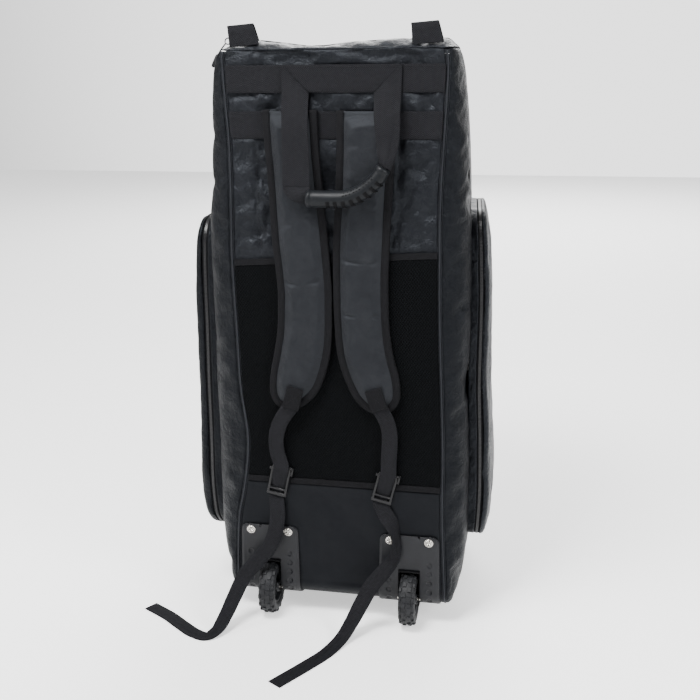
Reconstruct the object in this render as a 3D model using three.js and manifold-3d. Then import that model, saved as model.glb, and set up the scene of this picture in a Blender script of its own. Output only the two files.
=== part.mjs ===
import * as THREE from 'three';
import Module from 'manifold-3d';
import { mergeVertices } from 'three/addons/utils/BufferGeometryUtils.js';

// Wheeled duffel bag standing upright on two inset wheels and a foot bar. Millimetres.
// X runs across the back panel, Y from the back panel into the bag, Z up from the floor.

const wasm = await Module();
wasm.setup();
const { lerp } = THREE.MathUtils;

// Body
const BACK_WIDTH = 330; // back panel between its two seam pipings
const SIDE_BULGE = 35; // how far the sides stand out past half the back width
const BODY_DEPTH = 340;
const CORNER_DEPTH = 40; // depth over which the back or front turns into the side
const BASE_HEIGHT = 33; // underside above the floor
const SEAM_TOP = 912; // seam along the top of the back
const TOP_DOME = 13;
const TOP_ROLL = 30; // depth over which the top rolls up from its seam
const FRONT_CROWN = 14;
const HEEL_RADIUS = 25; // round between the back and the underside
const CLOTH = 2;
const PIPING = 5;
const PIPING_ROOM = 1; // between a seam piping and the panels it joins
const SEAT_ROOM = 0.9; // between a pocket and the curved side that it is sewn to
const GAP = 0.3;

// Back
const WEAR_TOP = 234; // seam between the wear panel and the mesh pocket
const WEAR_UNDER = 120; // how far the wear panel runs under the base
const SEAM_BAND = 10;
const MESH = 1;
const HEM = 10;
const HEM_THICK = 1.8;
const HEM_LEFT = 600; // pocket hem height at its left end
const HEM_RIGHT = 619;
const WEBBING = 1.5;
const BAND_WIDTH = 40;
const UPPER_BAND = 889; // top edges of the two bands
const LOWER_BAND = 823;

// Handle
const HANDLE_WIDTH = 40;
const HANDLE_SPAN = 178; // outside to outside of the two legs
const HANDLE_SHIFT = 14; // its middle from the middle of the back
const GRIP_RADIUS = 13;
const GRIP_SLOTS = 8;
const SLOT_WIDTH = 3;
const SLOT_DEPTH = 2.5;

// Shoulder straps
const PAD_THICK = 12;
const PAD_EDGE = 5;
const BINDING = 1;
const BINDING_LIP = 11;
const STRAP_WIDTH = 25;
const PATCH_LENGTH = 36;
const TAIL_REACH = 212; // how far the longer tail lies out in front of the back
const BUCKLE_WIDTH = 33;
const BUCKLE_HEIGHT = 50;
const BUCKLE_THICK = 3;
const BUCKLE_BAR = 5;

// Side pockets
const POCKET_NEAR = 55; // depth of the edge nearer the back
const POCKET_FAR = 285;
const POCKET_CORNER = 42;
const POCKET_STAND = 40;
const POCKET_ROLL = 14; // round between the pocket's wall and its cover
const POCKET_ZIP = 9;

// Main zip and top tabs
const ZIP_DEPTH = 58; // middle of the zip behind the back panel
const ZIP_TAPE = 28;
const ZIP_THICK = 1.2;
const ZIP_LOW = 700; // lower ends of the zip on the sides
const SLIDER_LENGTH = 13;
const SLIDER_WIDTH = 10;
const SLIDER_HEIGHT = 5;
const PULL_RING = 3.6;
const PULL_WIRE = 0.9;
const PULL_CORD = 1.3;
const PULL_END = 3;
const TAB_WIDTH = 40;
const TAB_HEIGHT = 28;
const TAB_SPACE = 7; // between the two layers of a tab
const TAB_DEPTH = 8;

// Wheels
const WHEEL_RADIUS = 45;
const WHEEL_WIDTH = 30;
const WHEEL_SPREAD = 116.5; // each wheel's middle from the middle of the bag
const WHEEL_DEPTH = 2;
const TYRE_BORE = 27;
const LUG_HEIGHT = 2.5;
const LUG_COUNT = 11;
const LUG_LENGTH = 10;
const HUB_GAP = 0.6;
const AXLE_RADIUS = 3.5;
const WELL_GAP = 6; // between tyre and well
const WELL_SIDE_GAP = 2;
const WELL_WALL = 2;
const PLATE = 3;
const PLATE_TOP = 157;
const PLATE_WIDTH = 96;
const PLATE_FLARE = 3; // how much wider each side is at the bottom
const PLATE_CORNER = 10;
const DIMPLE_RADIUS = 4.5;
const DIMPLE_DEPTH = 1.2;
const DIMPLE_SPREAD = 33;
const DIMPLE_PITCH = 16;
const DIMPLE_COUNT = 5;
const DIMPLE_TOP = 108;
const RIVET_RADIUS = 7.3;
const RIVET_HEIGHT = 2.6;
const RIVET_SPREAD = 31.5;
const RIVET_DROP = 9;

// Foot bar under the front
const FOOT_LENGTH = 250;
const FOOT_WIDTH = 30;
const FOOT_INSET = 30;
const FOOT_TAPER = 5;

const half = BACK_WIDTH / 2;
const bodyHeight = SEAM_TOP - BASE_HEIGHT;
const seamSpace = PIPING / 2 + PIPING_ROOM;
const heart = new THREE.Vector3(0, BODY_DEPTH / 2, (BASE_HEIGHT + SEAM_TOP) / 2);

// Side outlines: up is a share of the body height, seam a share of half the back width,
// bulge a share of the side bulge
const LEFT_OUTLINE = [
  { up: 0, seam: 1.06, bulge: 0.66 },
  { up: 0.05, seam: 1.05, bulge: 0.9 },
  { up: 0.11, seam: 1.035, bulge: 1.12 },
  { up: 0.16, seam: 1.015, bulge: 1.18 },
  { up: 0.2, seam: 0.97, bulge: 1.2 },
  { up: 0.31, seam: 0.9, bulge: 1.2 },
  { up: 0.41, seam: 0.955, bulge: 1.22 },
  { up: 0.52, seam: 0.975, bulge: 1.2 },
  { up: 0.65, seam: 0.995, bulge: 1.22 },
  { up: 0.77, seam: 0.985, bulge: 1.2 },
  { up: 0.85, seam: 0.985, bulge: 1.12 },
  { up: 0.93, seam: 1.01, bulge: 1 },
  { up: 0.973, seam: 1.02, bulge: 0.86 },
  { up: 0.992, seam: 1.02, bulge: 0.66 },
  { up: 1, seam: 1.0, bulge: 0.4 },
];
const RIGHT_OUTLINE = [
  { up: 0, seam: 1.06, bulge: 0.55 },
  { up: 0.05, seam: 1.05, bulge: 0.85 },
  { up: 0.11, seam: 1.035, bulge: 1.05 },
  { up: 0.19, seam: 1.02, bulge: 1.1 },
  { up: 0.31, seam: 1.015, bulge: 1.08 },
  { up: 0.41, seam: 0.995, bulge: 1 },
  { up: 0.52, seam: 0.97, bulge: 1.02 },
  { up: 0.65, seam: 0.955, bulge: 0.98 },
  { up: 0.77, seam: 0.955, bulge: 0.88 },
  { up: 0.85, seam: 0.975, bulge: 0.77 },
  { up: 0.93, seam: 0.995, bulge: 0.6 },
  { up: 0.973, seam: 1, bulge: 0.46 },
  { up: 0.992, seam: 0.99, bulge: 0.37 },
  { up: 1, seam: 0.98, bulge: 0.3 },
];

// The filling slumps to the left, so the right side runs inwards from its back corner to its
// front corner: up is a share of the body height, inwards a share of the side bulge
const RIGHT_LEAN = [
  { up: 0, inwards: 0 },
  { up: 0.11, inwards: 0.14 },
  { up: 0.31, inwards: 0.42 },
  { up: 0.52, inwards: 0.57 },
  { up: 1, inwards: 0.58 },
];
const NO_LEAN = [{ up: 0, inwards: 0 }, { up: 1, inwards: 0 }];
const RIGHT_TUCK = 14; // how far the right front seam leans inwards at the top

// Top end: across is a share of its half width, rise a share of the dome
const TOP_OUTLINE = [
  { across: -1, rise: 0 },
  { across: -0.93, rise: 0.55 },
  { across: -0.7, rise: 0.97 },
  { across: -0.48, rise: 0.62 },
  { across: -0.3, rise: 0.3 },
  { across: -0.15, rise: 0.32 },
  { across: 0.05, rise: 0.6 },
  { across: 0.35, rise: 0.86 },
  { across: 0.65, rise: 0.97 },
  { across: 0.92, rise: 0.95 },
  { across: 1, rise: 0 },
];

// Shoulder pads from the top end down: up is a share of the top seam's height, middle and
// side are shares of half the back width, lift is a share of the padding's crown
const LEFT_PAD = [
  { up: 0.905, middle: -0.403, side: 0.252, lift: 0.3 },
  { up: 0.885, middle: -0.4, side: 0.25, lift: 0.7 },
  { up: 0.842, middle: -0.388, side: 0.248, lift: 1 },
  { up: 0.777, middle: -0.361, side: 0.251, lift: 1 },
  { up: 0.7, middle: -0.332, side: 0.262, lift: 1 },
  { up: 0.645, middle: -0.305, side: 0.26, lift: 1 },
  { up: 0.605, middle: -0.29, side: 0.258, lift: 0.65 },
  { up: 0.585, middle: -0.292, side: 0.258, lift: 1 },
  { up: 0.54, middle: -0.3, side: 0.262, lift: 1 },
  { up: 0.499, middle: -0.33, side: 0.27, lift: 1 },
  { up: 0.465, middle: -0.372, side: 0.266, lift: 1 },
  { up: 0.436, middle: -0.41, side: 0.242, lift: 0.9 },
  { up: 0.422, middle: -0.432, side: 0.21, lift: 0 },
  { up: 0.405, middle: -0.462, side: 0.13, lift: 0 },
  { up: 0.399, middle: -0.472, side: 0.05, lift: 0 },
];
const RIGHT_PAD = [
  { up: 0.904, middle: 0.287, side: 0.262, lift: 0.3 },
  { up: 0.884, middle: 0.287, side: 0.262, lift: 0.7 },
  { up: 0.842, middle: 0.285, side: 0.262, lift: 1 },
  { up: 0.777, middle: 0.268, side: 0.258, lift: 1 },
  { up: 0.7, middle: 0.246, side: 0.26, lift: 1 },
  { up: 0.66, middle: 0.238, side: 0.258, lift: 0.72 },
  { up: 0.64, middle: 0.236, side: 0.256, lift: 1 },
  { up: 0.575, middle: 0.24, side: 0.256, lift: 1 },
  { up: 0.555, middle: 0.246, side: 0.256, lift: 0.72 },
  { up: 0.53, middle: 0.256, side: 0.26, lift: 1 },
  { up: 0.499, middle: 0.28, side: 0.264, lift: 1 },
  { up: 0.465, middle: 0.33, side: 0.264, lift: 1 },
  { up: 0.436, middle: 0.372, side: 0.238, lift: 0.9 },
  { up: 0.4205, middle: 0.389, side: 0.205, lift: 0 },
  { up: 0.405, middle: 0.405, side: 0.13, lift: 0 },
  { up: 0.399, middle: 0.41, side: 0.05, lift: 0 },
];

// Adjusters from the strap patch down to the buckle: drop is 0 at the pad's lower end and 1
// at the buckle's top, across a share of half the back width, out 1 on the pad and 0 on the buckle
const LEFT_ADJUSTER = [
  { drop: -0.36, across: -0.385, out: 1 },
  { drop: -0.06, across: -0.44, out: 1 },
  { drop: 0.08, across: -0.5, out: 0.8 },
  { drop: 0.25, across: -0.558, out: 0.45 },
  { drop: 0.5, across: -0.602, out: 0.2 },
  { drop: 0.74, across: -0.596, out: 0.05 },
];
const RIGHT_ADJUSTER = [
  { drop: -0.4, across: 0.36, out: 1 },
  { drop: -0.1, across: 0.426, out: 1 },
  { drop: 0.05, across: 0.474, out: 0.8 },
  { drop: 0.25, across: 0.51, out: 0.45 },
  { drop: 0.5, across: 0.514, out: 0.2 },
  { drop: 0.74, across: 0.504, out: 0.05 },
];

// Strap tails from the buckle to the tip: up is a share of the buckle's lower edge above the
// floor, out a share of the tail's reach, turn and tip the way its face looks in degrees
const LEFT_TAIL = [
  { across: -0.606, up: 0.87, out: 0.05, turn: 5, tip: 0 },
  { across: -0.624, up: 0.737, out: 0.085, turn: 5, tip: 0 },
  { across: -0.691, up: 0.6, out: 0.104, turn: 0, tip: 5 },
  { across: -0.788, up: 0.502, out: 0.127, turn: 0, tip: 10 },
  { across: -0.915, up: 0.385, out: 0.17, turn: 0, tip: 20 },
  { across: -1.006, up: 0.225, out: 0.245, turn: 0, tip: 40 },
  { across: -1.067, up: 0.103, out: 0.34, turn: 0, tip: 75 },
  { across: -1.12, up: 0.028, out: 0.43, turn: 0, tip: 90 },
  { across: -1.2, up: 0, out: 0.487, turn: 0, tip: 90 },
  { across: -1.33, up: 0, out: 0.462, turn: 0, tip: 90 },
  { across: -1.515, up: 0, out: 0.363, turn: 0, tip: 90 },
  { across: -1.697, up: 0, out: 0.255, turn: 0, tip: 90 },
  { across: -1.964, up: 0, out: 0.13, turn: 0, tip: 90 },
];
const RIGHT_TAIL = [
  { across: 0.475, up: 0.93, out: 0.03, turn: 15, tip: 0 },
  { across: 0.54, up: 0.86, out: 0.055, turn: 45, tip: 0 },
  { across: 0.59, up: 0.75, out: 0.085, turn: 68, tip: 0 },
  { across: 0.582, up: 0.624, out: 0.104, turn: 45, tip: 5 },
  { across: 0.485, up: 0.502, out: 0.127, turn: 12, tip: 10 },
  { across: 0.364, up: 0.38, out: 0.156, turn: 0, tip: 20 },
  { across: 0.273, up: 0.244, out: 0.198, turn: 0, tip: 40 },
  { across: 0.188, up: 0.113, out: 0.274, turn: 0, tip: 75 },
  { across: 0.115, up: 0.028, out: 0.37, turn: 0, tip: 90 },
  { across: 0.018, up: 0, out: 0.538, turn: 0, tip: 90 },
  { across: -0.115, up: 0, out: 0.722, turn: 0, tip: 90 },
  { across: -0.339, up: 0, out: 1, turn: 0, tip: 90 },
];

// Handle legs from the upper band down to the grip: up is a share of the top seam's height,
// across a share of half the span, out 0 flat on the band and 1 at the grip's middle
const LEFT_LEG = [
  { across: -0.78, up: 0.936, out: 0, width: 1 },
  { across: -0.78, up: 0.905, out: 0.42, width: 1 },
  { across: -0.78, up: 0.86, out: 0.56, width: 1 },
  { across: -0.79, up: 0.815, out: 0.62, width: 0.98 },
  { across: -0.775, up: 0.785, out: 0.8, width: 0.84 },
  { across: -0.7, up: 0.7672, out: 1, width: 0.66 },
  { across: -0.63, up: 0.7665, out: 1, width: 0.62 },
  { across: -0.592, up: 0.7665, out: 1, width: 0.6 },
];
const RIGHT_LEG = [
  { across: 0.78, up: 0.936, out: 0, width: 1 },
  { across: 0.78, up: 0.905, out: 0.42, width: 1 },
  { across: 0.775, up: 0.875, out: 0.56, width: 1 },
  { across: 0.775, up: 0.85, out: 0.75, width: 0.9 },
  { across: 0.762, up: 0.8243, out: 1, width: 0.62 },
  { across: 0.722, up: 0.8178, out: 1, width: 0.52 },
];
const GRIP_ROUTE = [
  { across: -0.575, up: 0.7665, size: 1 },
  { across: -0.35, up: 0.766, size: 1 },
  { across: -0.12, up: 0.766, size: 1 },
  { across: 0.09, up: 0.7675, size: 1 },
  { across: 0.29, up: 0.7745, size: 1 },
  { across: 0.47, up: 0.786, size: 0.96 },
  { across: 0.62, up: 0.801, size: 0.9 },
  { across: 0.715, up: 0.8165, size: 0.86 },
];

// Side pockets: low and high are shares of the top seam's height, stand a share of the stand
const LEFT_POCKET = { low: 0.124, high: 0.72, stand: 1.05 };
const RIGHT_POCKET = { low: 0.142, high: 0.738, stand: 0.79 };
const POCKET_SWELL = [
  { up: 0, stand: 0.86 },
  { up: 0.12, stand: 1.08 },
  { up: 0.3, stand: 1.06 },
  { up: 0.55, stand: 1 },
  { up: 0.85, stand: 0.92 },
  { up: 1, stand: 0.76 },
];

// Value of one column of a table, read at a place along another column
function readCurve(table, key, column, Interpolant = THREE.CubicInterpolant) {
  const places = table.map((row) => row[key]);
  const values = table.map((row) => row[column]);
  const curve = new Interpolant(places, values, 1);
  return (place) => curve.evaluate(place)[0];
}

// Closed body through rings of as many points each. A ring runs along one face and back along
// the other, so each open end is capped by strips from one face to the other.
function loft(rings, loop = false) {
  const size = rings[0].length;
  const faces = [];
  const spans = loop ? rings.length : rings.length - 1;
  for (let span = 0; span < spans; span++) {
    const near = span * size;
    const far = ((span + 1) % rings.length) * size;
    for (let i = 0; i < size; i++) {
      const j = (i + 1) % size;
      faces.push(near + i, near + j, far + j, near + i, far + j, far + i);
    }
  }
  if (!loop) {
    const last = (rings.length - 1) * size;
    for (let i = 0; i < size / 2 - 1; i++) {
      const strip = [i, i + 1, size - 2 - i, size - 1 - i];
      const [a, b, c, d] = strip;
      faces.push(a, c, b, a, d, c);
      faces.push(last + a, last + b, last + c, last + a, last + c, last + d);
    }
  }
  return faceOut(rings.flat(), faces);
}

// Turns the faces outwards where the body was made inside out
function faceOut(points, faces) {
  let volume = 0;
  for (let i = 0; i < faces.length; i += 3) {
    const [a, b, c] = [points[faces[i]], points[faces[i + 1]], points[faces[i + 2]]];
    volume += a.dot(new THREE.Vector3().crossVectors(b, c));
  }
  const geometry = new THREE.BufferGeometry().setFromPoints(points);
  geometry.setIndex(volume > 0 ? faces : faces.reverse());
  return geometry;
}

// Thin wall behind a grid of outer points, thickened by one constant step
function slab(grid, step) {
  return loft(grid.map((row) => [...row, ...row.map((p) => p.clone().add(step)).reverse()]));
}

// Thin wall behind a grid of outer points, thickened square to its surface towards a place
function wall(grid, thickness, inside = heart) {
  const rings = grid.map((row, i) => {
    const inner = row.map((point, j) => {
      const up = grid[Math.min(i + 1, grid.length - 1)][j].clone();
      up.sub(grid[Math.max(i - 1, 0)][j]);
      const over = row[Math.min(j + 1, row.length - 1)].clone().sub(row[Math.max(j - 1, 0)]);
      const normal = over.cross(up).normalize();
      const towards = inside.clone().sub(point).dot(normal) > 0 ? 1 : -1;
      return point.clone().addScaledVector(normal, towards * thickness);
    });
    return [...row, ...inner.reverse()];
  });
  return loft(rings);
}

// Flat webbing along rows of { point, face, width }, its face looking along face
function ribbon(rows, thickness) {
  return loft(rows.map((row, i) => {
    const next = rows[Math.min(i + 1, rows.length - 1)].point;
    const before = rows[Math.max(i - 1, 0)].point;
    const along = next.clone().sub(before).normalize();
    const side = along.clone().cross(row.face).normalize();
    const out = side.clone().cross(along).multiplyScalar(thickness / 2);
    side.multiplyScalar(row.width / 2);
    const corner = (s, o) => row.point.clone().addScaledVector(side, s).addScaledVector(out, o);
    return [corner(-1, 1), corner(1, 1), corner(1, -1), corner(-1, -1)];
  }));
}

// Rows of a ribbon eased through fewer rows, with steps between each two
function ease(rows, steps) {
  const curve = new THREE.CatmullRomCurve3(rows.map((row) => row.point), false, 'centripetal');
  const eased = [];
  for (let i = 0; i < rows.length - 1; i++) {
    for (let step = 0; step < steps; step++) {
      const share = step / steps;
      eased.push({
        point: curve.getPoint((i + share) / (rows.length - 1)),
        face: rows[i].face.clone().lerp(rows[i + 1].face, share).normalize(),
        width: lerp(rows[i].width, rows[i + 1].width, share),
      });
    }
  }
  eased.push(rows[rows.length - 1]);
  return eased;
}

// Round rod along points, with a radius for each
function rod(points, radii, sides) {
  return loft(points.map((point, i) => {
    const next = points[Math.min(i + 1, points.length - 1)];
    const along = next.clone().sub(points[Math.max(i - 1, 0)]).normalize();
    const side = along.clone().cross(new THREE.Vector3(0, 1, 0)).normalize();
    const out = side.clone().cross(along);
    return Array.from({ length: sides }, (_, k) => {
      const angle = ((k + 0.5) / sides) * Math.PI * 2;
      return point.clone()
        .addScaledVector(side, Math.cos(angle) * radii[i])
        .addScaledVector(out, Math.sin(angle) * radii[i]);
    });
  }));
}

// A shape drawn in depth and height, extruded across the bag
function across(shape, from, to, curveSegments = 12) {
  const settings = { depth: to - from, bevelEnabled: false, curveSegments };
  const geometry = new THREE.ExtrudeGeometry(shape, settings);
  const turn = new THREE.Matrix4().makeBasis(
    new THREE.Vector3(0, 1, 0), new THREE.Vector3(0, 0, 1), new THREE.Vector3(1, 0, 0));
  return geometry.applyMatrix4(turn).translate(from, 0, 0);
}

// A shape drawn as the back shows it, extruded from one depth towards the viewer
function facing(shape, depth, thickness, curveSegments = 4) {
  const settings = { depth: thickness, bevelEnabled: false, curveSegments };
  return new THREE.ExtrudeGeometry(shape, settings).rotateX(Math.PI / 2).translate(0, depth, 0);
}

function roundedBox(width, height, radius) {
  const [x, y] = [width / 2, height / 2];
  const shape = new THREE.Shape();
  shape.moveTo(-x + radius, -y);
  shape.lineTo(x - radius, -y).absarc(x - radius, -y + radius, radius, -Math.PI / 2, 0);
  shape.lineTo(x, y - radius).absarc(x - radius, y - radius, radius, 0, Math.PI / 2);
  shape.lineTo(-x + radius, y).absarc(-x + radius, y - radius, radius, Math.PI / 2, Math.PI);
  shape.lineTo(-x, -y + radius);
  shape.absarc(-x + radius, -y + radius, radius, Math.PI, Math.PI * 1.5);
  return shape;
}

function rectangle(left, right, low, high) {
  const shape = new THREE.Shape();
  shape.moveTo(left, low).lineTo(right, low).lineTo(right, high).lineTo(left, high);
  return shape;
}

function toSolid(geometry) {
  const bare = new THREE.BufferGeometry();
  bare.setAttribute('position', geometry.getAttribute('position'));
  bare.setIndex(geometry.getIndex());
  const merged = mergeVertices(bare);
  return new wasm.Manifold(new wasm.Mesh({
    numProp: 3,
    vertProperties: merged.getAttribute('position').array,
    triVerts: new Uint32Array(merged.getIndex().array),
  }));
}

function toGeometry(solid) {
  const mesh = solid.getMesh();
  const geometry = new THREE.BufferGeometry();
  geometry.setAttribute('position', new THREE.BufferAttribute(mesh.vertProperties, 3));
  geometry.setIndex(new THREE.BufferAttribute(mesh.triVerts, 1));
  return geometry;
}

const join = (...geometries) => toGeometry(
  geometries.map(toSolid).reduce((body, next) => body.add(next)));
const cut = (geometry, ...tools) => toGeometry(
  tools.map(toSolid).reduce((body, tool) => body.subtract(tool), toSolid(geometry)));
const keepInside = (geometry, tool) => toGeometry(toSolid(geometry).intersect(toSolid(tool)));

const FINISHES = {
  fabric: { color: 0x24262c, roughness: 0.72, metalness: 0 },
  padding: { color: 0x3d3f43, roughness: 0.62, metalness: 0 },
  webbing: { color: 0x2a2a2e, roughness: 0.85, metalness: 0 },
  mesh: { color: 0x141a20, roughness: 0.8, metalness: 0 },
  coated: { color: 0x26262b, roughness: 0.45, metalness: 0 },
  piping: { color: 0x5c6066, roughness: 0.5, metalness: 0 },
  plastic: { color: 0x232529, roughness: 0.5, metalness: 0 },
  rubber: { color: 0x34373c, roughness: 0.75, metalness: 0 },
  grip: { color: 0x55585e, roughness: 0.6, metalness: 0 },
  steel: { color: 0xc9c9cc, roughness: 0.25, metalness: 1 },
};

const bag = new THREE.Group();

function add(name, geometry, finish, parent = bag) {
  const mesh = new THREE.Mesh(geometry, new THREE.MeshStandardMaterial(FINISHES[finish]));
  mesh.name = name;
  parent.add(mesh);
  return mesh;
}

// Heights of the body's rows, closer together at both ends
const BODY_ROWS = 14;
const lowest = BASE_HEIGHT + CLOTH + GAP;
const highest = SEAM_TOP - CLOTH - GAP;
const bodyRows = Array.from({ length: BODY_ROWS + 1 }, (_, i) => {
  const share = i / BODY_ROWS;
  return lerp(lowest, highest, share - (Math.sin(share * Math.PI * 2) * 0.8) / (Math.PI * 2));
});

// A curve over the height that runs straight from one body row to the next
const levels = [BASE_HEIGHT, ...bodyRows, SEAM_TOP];
function chorded(curve) {
  const values = levels.map(curve);
  return (height) => {
    const above = levels.findIndex((level) => level > height);
    const i = above < 1 ? levels.length - 1 : above;
    const share = (height - levels[i - 1]) / (levels[i] - levels[i - 1]);
    return lerp(values[i - 1], values[i], share);
  };
}

// Share of the way from the back corner to the front corner
function cornerShare(depth) {
  const share = (depth - CORNER_DEPTH) / (BODY_DEPTH - 2 * CORNER_DEPTH);
  return Math.min(Math.max(share, 0), 1);
}

// One side of the body: its seam and its reach at each height and depth
function makeSide(name, hand, table, leanTable, tuck) {
  const seam = readCurve(table, 'up', 'seam');
  const bulge = readCurve(table, 'up', 'bulge');
  const inwards = readCurve(leanTable, 'up', 'inwards', THREE.LinearInterpolant);
  const share = (height) => (height - BASE_HEIGHT) / bodyHeight;
  const widest = chorded((height) => half + bulge(share(height)) * SIDE_BULGE);
  const lean = chorded((height) => inwards(share(height)) * SIDE_BULGE);
  return {
    name,
    hand,
    seam: chorded((height) => seam(share(height)) * half),
    reach: (height, depth) => widest(height) - lean(height) * cornerShare(depth),
    front: (height) => half - tuck * share(height),
  };
}
const left = makeSide('left', -1, LEFT_OUTLINE, NO_LEAN, 0);
const right = makeSide('right', 1, RIGHT_OUTLINE, RIGHT_LEAN, RIGHT_TUCK);

// Where the back's face lies at a height: flat, then round the heel
function heelDepth(height) {
  const below = BASE_HEIGHT + HEEL_RADIUS - height;
  if (below <= 0) return 0;
  return HEEL_RADIUS - Math.sqrt(Math.max(HEEL_RADIUS ** 2 - below ** 2, 0));
}

// Level section from the back seam to the front seam: turn is 0 at a seam and 1 on the side
const CORNER_STEPS = 3;
const FLAT_STEPS = 2;
function sectionRows(start) {
  const turns = Array.from({ length: CORNER_STEPS }, (_, i) => (i / CORNER_STEPS) * (Math.PI / 2));
  const flat = Array.from({ length: FLAT_STEPS + 1 }, (_, i) => i / FLAT_STEPS);
  const back = turns.map((angle) => (
    { depth: lerp(start, CORNER_DEPTH, 1 - Math.cos(angle)), turn: Math.sin(angle), front: false }));
  const middle = flat.map((share) => (
    { depth: lerp(CORNER_DEPTH, BODY_DEPTH - CORNER_DEPTH, share), turn: 1, front: false }));
  const front = turns.reverse().map((angle) => (
    { depth: BODY_DEPTH - CORNER_DEPTH * (1 - Math.cos(angle)), turn: Math.sin(angle), front: true }));
  return [...back, ...middle, ...front];
}

function sectionReach(side, height, row) {
  const start = row.front ? side.front(height) + GAP : side.seam(height) + seamSpace;
  return lerp(start, side.reach(height, row.depth), row.turn);
}

function addSidePanel(side) {
  const grid = bodyRows.map((height) => sectionRows(heelDepth(height)).map((row) => (
    new THREE.Vector3(side.hand * sectionReach(side, height, row), row.depth, height))));
  add(`side_panel_${side.name}`, wall(grid, CLOTH), 'fabric');
}

const inFromSeam = (side, height) => side.hand * (side.seam(height) - seamSpace);

// A flat piece on the back that runs from seam to seam, between two edges given as heights
// for its left and right end, lying between two distances in front of the back
function backPiece(low, high, near, thickness, columns = 1) {
  const between = bodyRows.filter((row) => row > Math.max(...low) + 1 && row < Math.min(...high) - 1);
  const grid = [low, ...between.map((row) => [row, row]), high].map(([from, to]) => (
    Array.from({ length: columns + 1 }, (_, j) => new THREE.Vector3(
      lerp(inFromSeam(left, from), inFromSeam(right, to), j / columns),
      -near - thickness,
      lerp(from, to, j / columns)))));
  return slab(grid, new THREE.Vector3(0, thickness, 0));
}

function addBackPanel() {
  const geometry = backPiece([WEAR_TOP, WEAR_TOP], [highest, highest], -CLOTH, CLOTH);
  add('back_panel', geometry, 'fabric');
}

// Top end: domed between its seams, sagging in the middle
const topRise = readCurve(TOP_OUTLINE, 'across', 'rise', THREE.LinearInterpolant);
function topHeight(share, depth) {
  const fromSeam = Math.min(depth, BODY_DEPTH - depth, TOP_ROLL) / TOP_ROLL;
  return SEAM_TOP + topRise(share) * TOP_DOME * (1 - (1 - fromSeam) ** 2);
}
const topShares = TOP_OUTLINE.map((row) => row.across);

// Height of the top panel where it runs straight between two of its rows
function builtTop(share, depth) {
  const depths = sectionRows(0).map((row) => row.depth);
  const next = Math.max(depths.findIndex((place) => place > depth), 1);
  const along = (depth - depths[next - 1]) / (depths[next] - depths[next - 1]);
  return lerp(topHeight(share, depths[next - 1]), topHeight(share, depths[next]), along);
}

function addTopPanel() {
  const rows = sectionRows(0);
  const grid = rows.map((row) => topShares.map((share) => {
    const side = share < 0 ? left : right;
    const reach = sectionReach(side, SEAM_TOP, row);
    return new THREE.Vector3(share * reach, row.depth, topHeight(share, row.depth));
  }));
  add('top_panel', slab(grid, new THREE.Vector3(0, 0, -CLOTH)), 'fabric');
}

function addBasePanel() {
  const rows = sectionRows(0).filter((row) => row.depth > WEAR_UNDER + CLOTH);
  const first = { depth: WEAR_UNDER + GAP, turn: 1, front: false };
  const grid = [first, ...rows].map((row) => [left, right].map((side) => new THREE.Vector3(
    side.hand * sectionReach(side, BASE_HEIGHT, row), row.depth, BASE_HEIGHT)));
  add('base_panel', slab(grid, new THREE.Vector3(0, 0, CLOTH)), 'fabric');
}

function addFrontPanel() {
  const [columns, rows] = [4, 6];
  const grid = Array.from({ length: rows + 1 }, (_, i) => {
    const height = lerp(lowest, highest, i / rows);
    const swell = 1 - (2 * (i / rows) - 1) ** 4;
    return Array.from({ length: columns + 1 }, (_, j) => {
      const share = 2 * (j / columns) - 1;
      const crown = FRONT_CROWN * swell * (1 - share ** 2);
      const seam = (share < 0 ? left : right).front(height) - CLOTH;
      return new THREE.Vector3(share * seam, BODY_DEPTH + crown, height);
    });
  });
  add('front_panel', slab(grid, new THREE.Vector3(0, -CLOTH, 0)), 'fabric');
}

// A place on the heel profile, as { depth, height }: distance runs down the back from the top
// of the round, on round it and on under the base; out is how far it lies outside the fabric
const heelArc = (HEEL_RADIUS * Math.PI) / 2;
function heelPlace(distance, out) {
  if (distance < 0) return { depth: -out, height: BASE_HEIGHT + HEEL_RADIUS - distance };
  if (distance > heelArc) {
    return { depth: HEEL_RADIUS + distance - heelArc, height: BASE_HEIGHT - out };
  }
  const angle = distance / HEEL_RADIUS;
  return {
    depth: HEEL_RADIUS - (HEEL_RADIUS + out) * Math.cos(angle),
    height: BASE_HEIGHT + HEEL_RADIUS - (HEEL_RADIUS + out) * Math.sin(angle),
  };
}
const HEEL_STEPS = 5;
const heelRound = Array.from({ length: HEEL_STEPS + 1 }, (_, i) => (heelArc * i) / HEEL_STEPS);

// Solid core inside the heel profile, used to trim what is built into the heel
function heelCore(out, from, to) {
  const shape = new THREE.Shape();
  const centre = BASE_HEIGHT + HEEL_RADIUS;
  shape.moveTo(-out, SEAM_TOP).lineTo(-out, centre);
  shape.absarc(HEEL_RADIUS, centre, HEEL_RADIUS + out, Math.PI, Math.PI * 1.5);
  shape.lineTo(BODY_DEPTH, BASE_HEIGHT - out).lineTo(BODY_DEPTH, SEAM_TOP);
  return across(shape, from, to, HEEL_STEPS);
}

const wellRadius = WHEEL_RADIUS + WELL_GAP;
const slotWidth = WHEEL_WIDTH + 2 * WELL_SIDE_GAP;
const wellWidth = slotWidth + 2 * WELL_WALL;

function disc(radius, from, to, segments) {
  const shape = new THREE.Shape().absarc(WHEEL_DEPTH, WHEEL_RADIUS, radius, 0, Math.PI * 2);
  return across(shape, from, to, segments);
}

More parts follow.
